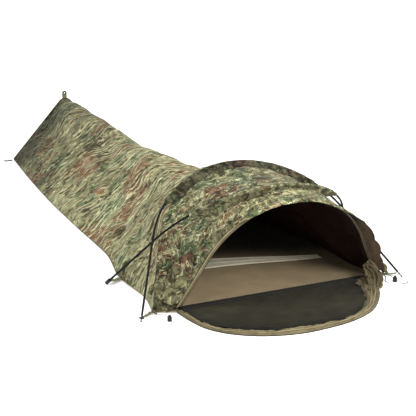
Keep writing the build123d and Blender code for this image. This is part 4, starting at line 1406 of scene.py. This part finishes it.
def make_cord_casing(side, sign):
    """End of the hem's channel at a corner of the hood, where the drawcord comes out."""
    exit_point = np.array(CORDS[f"drawcord_{side}"][0])
    corner = np.array((sign * 0.480, FEET_Y + 0.066, 0.0085))
    t = np.linspace(0, 1, 24)[:, None]
    line = corner + t * (exit_point - corner)
    line[:, 2] += 0.0008 * np.sin(t[:, 0] * 9)
    girth = 1.25 - 0.35 * t[:, 0] + 0.10 * np.sin(t[:, 0] * 24)
    swept(f"cord_casing_{side}", line, UP, round_profile(0.0040, 12), GATHER, "root", girth)


for side, sign in SIDES.items():
    make_cord_casing(side, sign)

TAB_HOLE = 0.0061


def make_hang_tab():
    """Webbing tab with a round end and a hole for its eyelet."""
    low, high = corners_of("hang_tab")
    centre_x, half = (low[0] + high[0]) / 2, (high[0] - low[0]) / 2
    hole_z = high[2] - half
    turns = np.linspace(0, 2 * np.pi, 73)
    circle = np.stack([np.cos(turns), np.sin(turns)], axis=1)
    rows = np.linspace(0, 1, 9)[:, None]
    outer = half * circle
    below = outer[:, 1] < 0
    stretch = np.maximum(np.abs(circle[:, 0]) / half, np.abs(circle[:, 1]) / (hole_z - low[2]))
    outer[below] = (circle / stretch[:, None])[below]
    inner = TAB_HOLE * circle
    flat = inner[None] + rows[..., None] * (outer - inner)[None]
    y = high[1] + 0.0003 * np.sin(flat[..., 1] * 900)
    points = joined(centre_x + flat[..., 0], y - 0.0002, hole_z + flat[..., 1])
    piece = grid_piece("hang_tab_webbing", points, [WEBBING, WEBBING], "root", 0.0024)
    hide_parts("hang_tab")


make_hang_tab()

# ---- springs inside the cord locks
SPRING_WIRE = 0.0004
SPRING_TURNS = 3.5


def make_lock_spring(side):
    """Coil under the plunger."""
    low, high = corners_of(f"cord_lock_spring_{side}")
    middle, radius = (low + high) / 2, (high[0] - low[0]) / 2 - SPRING_WIRE
    turn = np.linspace(0, 2 * np.pi * SPRING_TURNS, 120)
    rise = np.linspace(low[2] + SPRING_WIRE, high[2] - SPRING_WIRE, len(turn))
    coil = joined(middle[0] + radius * np.cos(turn), middle[1] + radius * np.sin(turn), rise)
    ring = round_profile(SPRING_WIRE, 8)
    piece = swept(f"lock_spring_coil_{side}", coil, UP, ring, STEEL, "root")
    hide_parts(f"cord_lock_spring_{side}")
    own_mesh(piece)


for side in SIDES:
    make_lock_spring(side)

# ---- seams on the cover
# Each row of stitches: the panel's points, the row it follows, and how far it stands off the cloth
SEAM_LINES = {
    "rear_seam_stitches": (body_points, 1, 0.0009),
    "crescent_stitches_14": (crescent_points, -7, 0.0008),
    "crescent_stitches_20": (crescent_points, -10, 0.0008),
}
for name, (points, row, lift) in SEAM_LINES.items():
    stitches(name, points[row, 4:-4] + grid_normals(points)[row, 4:-4] * lift, UP, SEAM_STITCHES)

# ---- materials on the CAD nodes
NODE_MATERIALS = {
    "hoop_section": BLACK_TUBE,
    "ferrules": ALLOY,
    "tips": ALLOY,
    "shock_cord": ELASTIC,
    "foot_eyelet": BLACK_METAL,
    "foot_cup": BLACK_PLASTIC,
    "hang_eyelet": BLACK_METAL,
    "zip_slider": BLACK_METAL,
    "zip_tab": BLACK_METAL,
    "zip_pull_left": BLACK_PLASTIC,
    "lock_body": BLACK_PLASTIC,
    "lock_plunger": BLACK_PLASTIC,
    "lock_spring": STEEL,
}
for name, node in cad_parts.items():
    for part, material in NODE_MATERIALS.items():
        if part in name:
            node.data.materials.clear()
            node.data.materials.append(material)

# ---- floor of the studio
STAGE_HALF = 12
STAGE_Z = -0.0002
stage_corners = [(x * STAGE_HALF, y * STAGE_HALF, STAGE_Z) for x, y in SQUARE]
stage_mesh = bpy.data.meshes.new("studio_floor")
stage_mesh.from_pydata(stage_corners, [], [(0, 1, 2, 3)])
studio_floor = bpy.data.objects.new("studio_floor", stage_mesh)
scene.collection.objects.link(studio_floor)
pale = Shader("pale_floor", 0.9)
pale.set("Base Color", (0.93, 0.93, 0.93, 1.0))
pale.set("Emission Color", (1.0, 1.0, 1.0, 1.0))
pale.set("Emission Strength", 0.22)
stage_mesh.materials.append(pale.material)
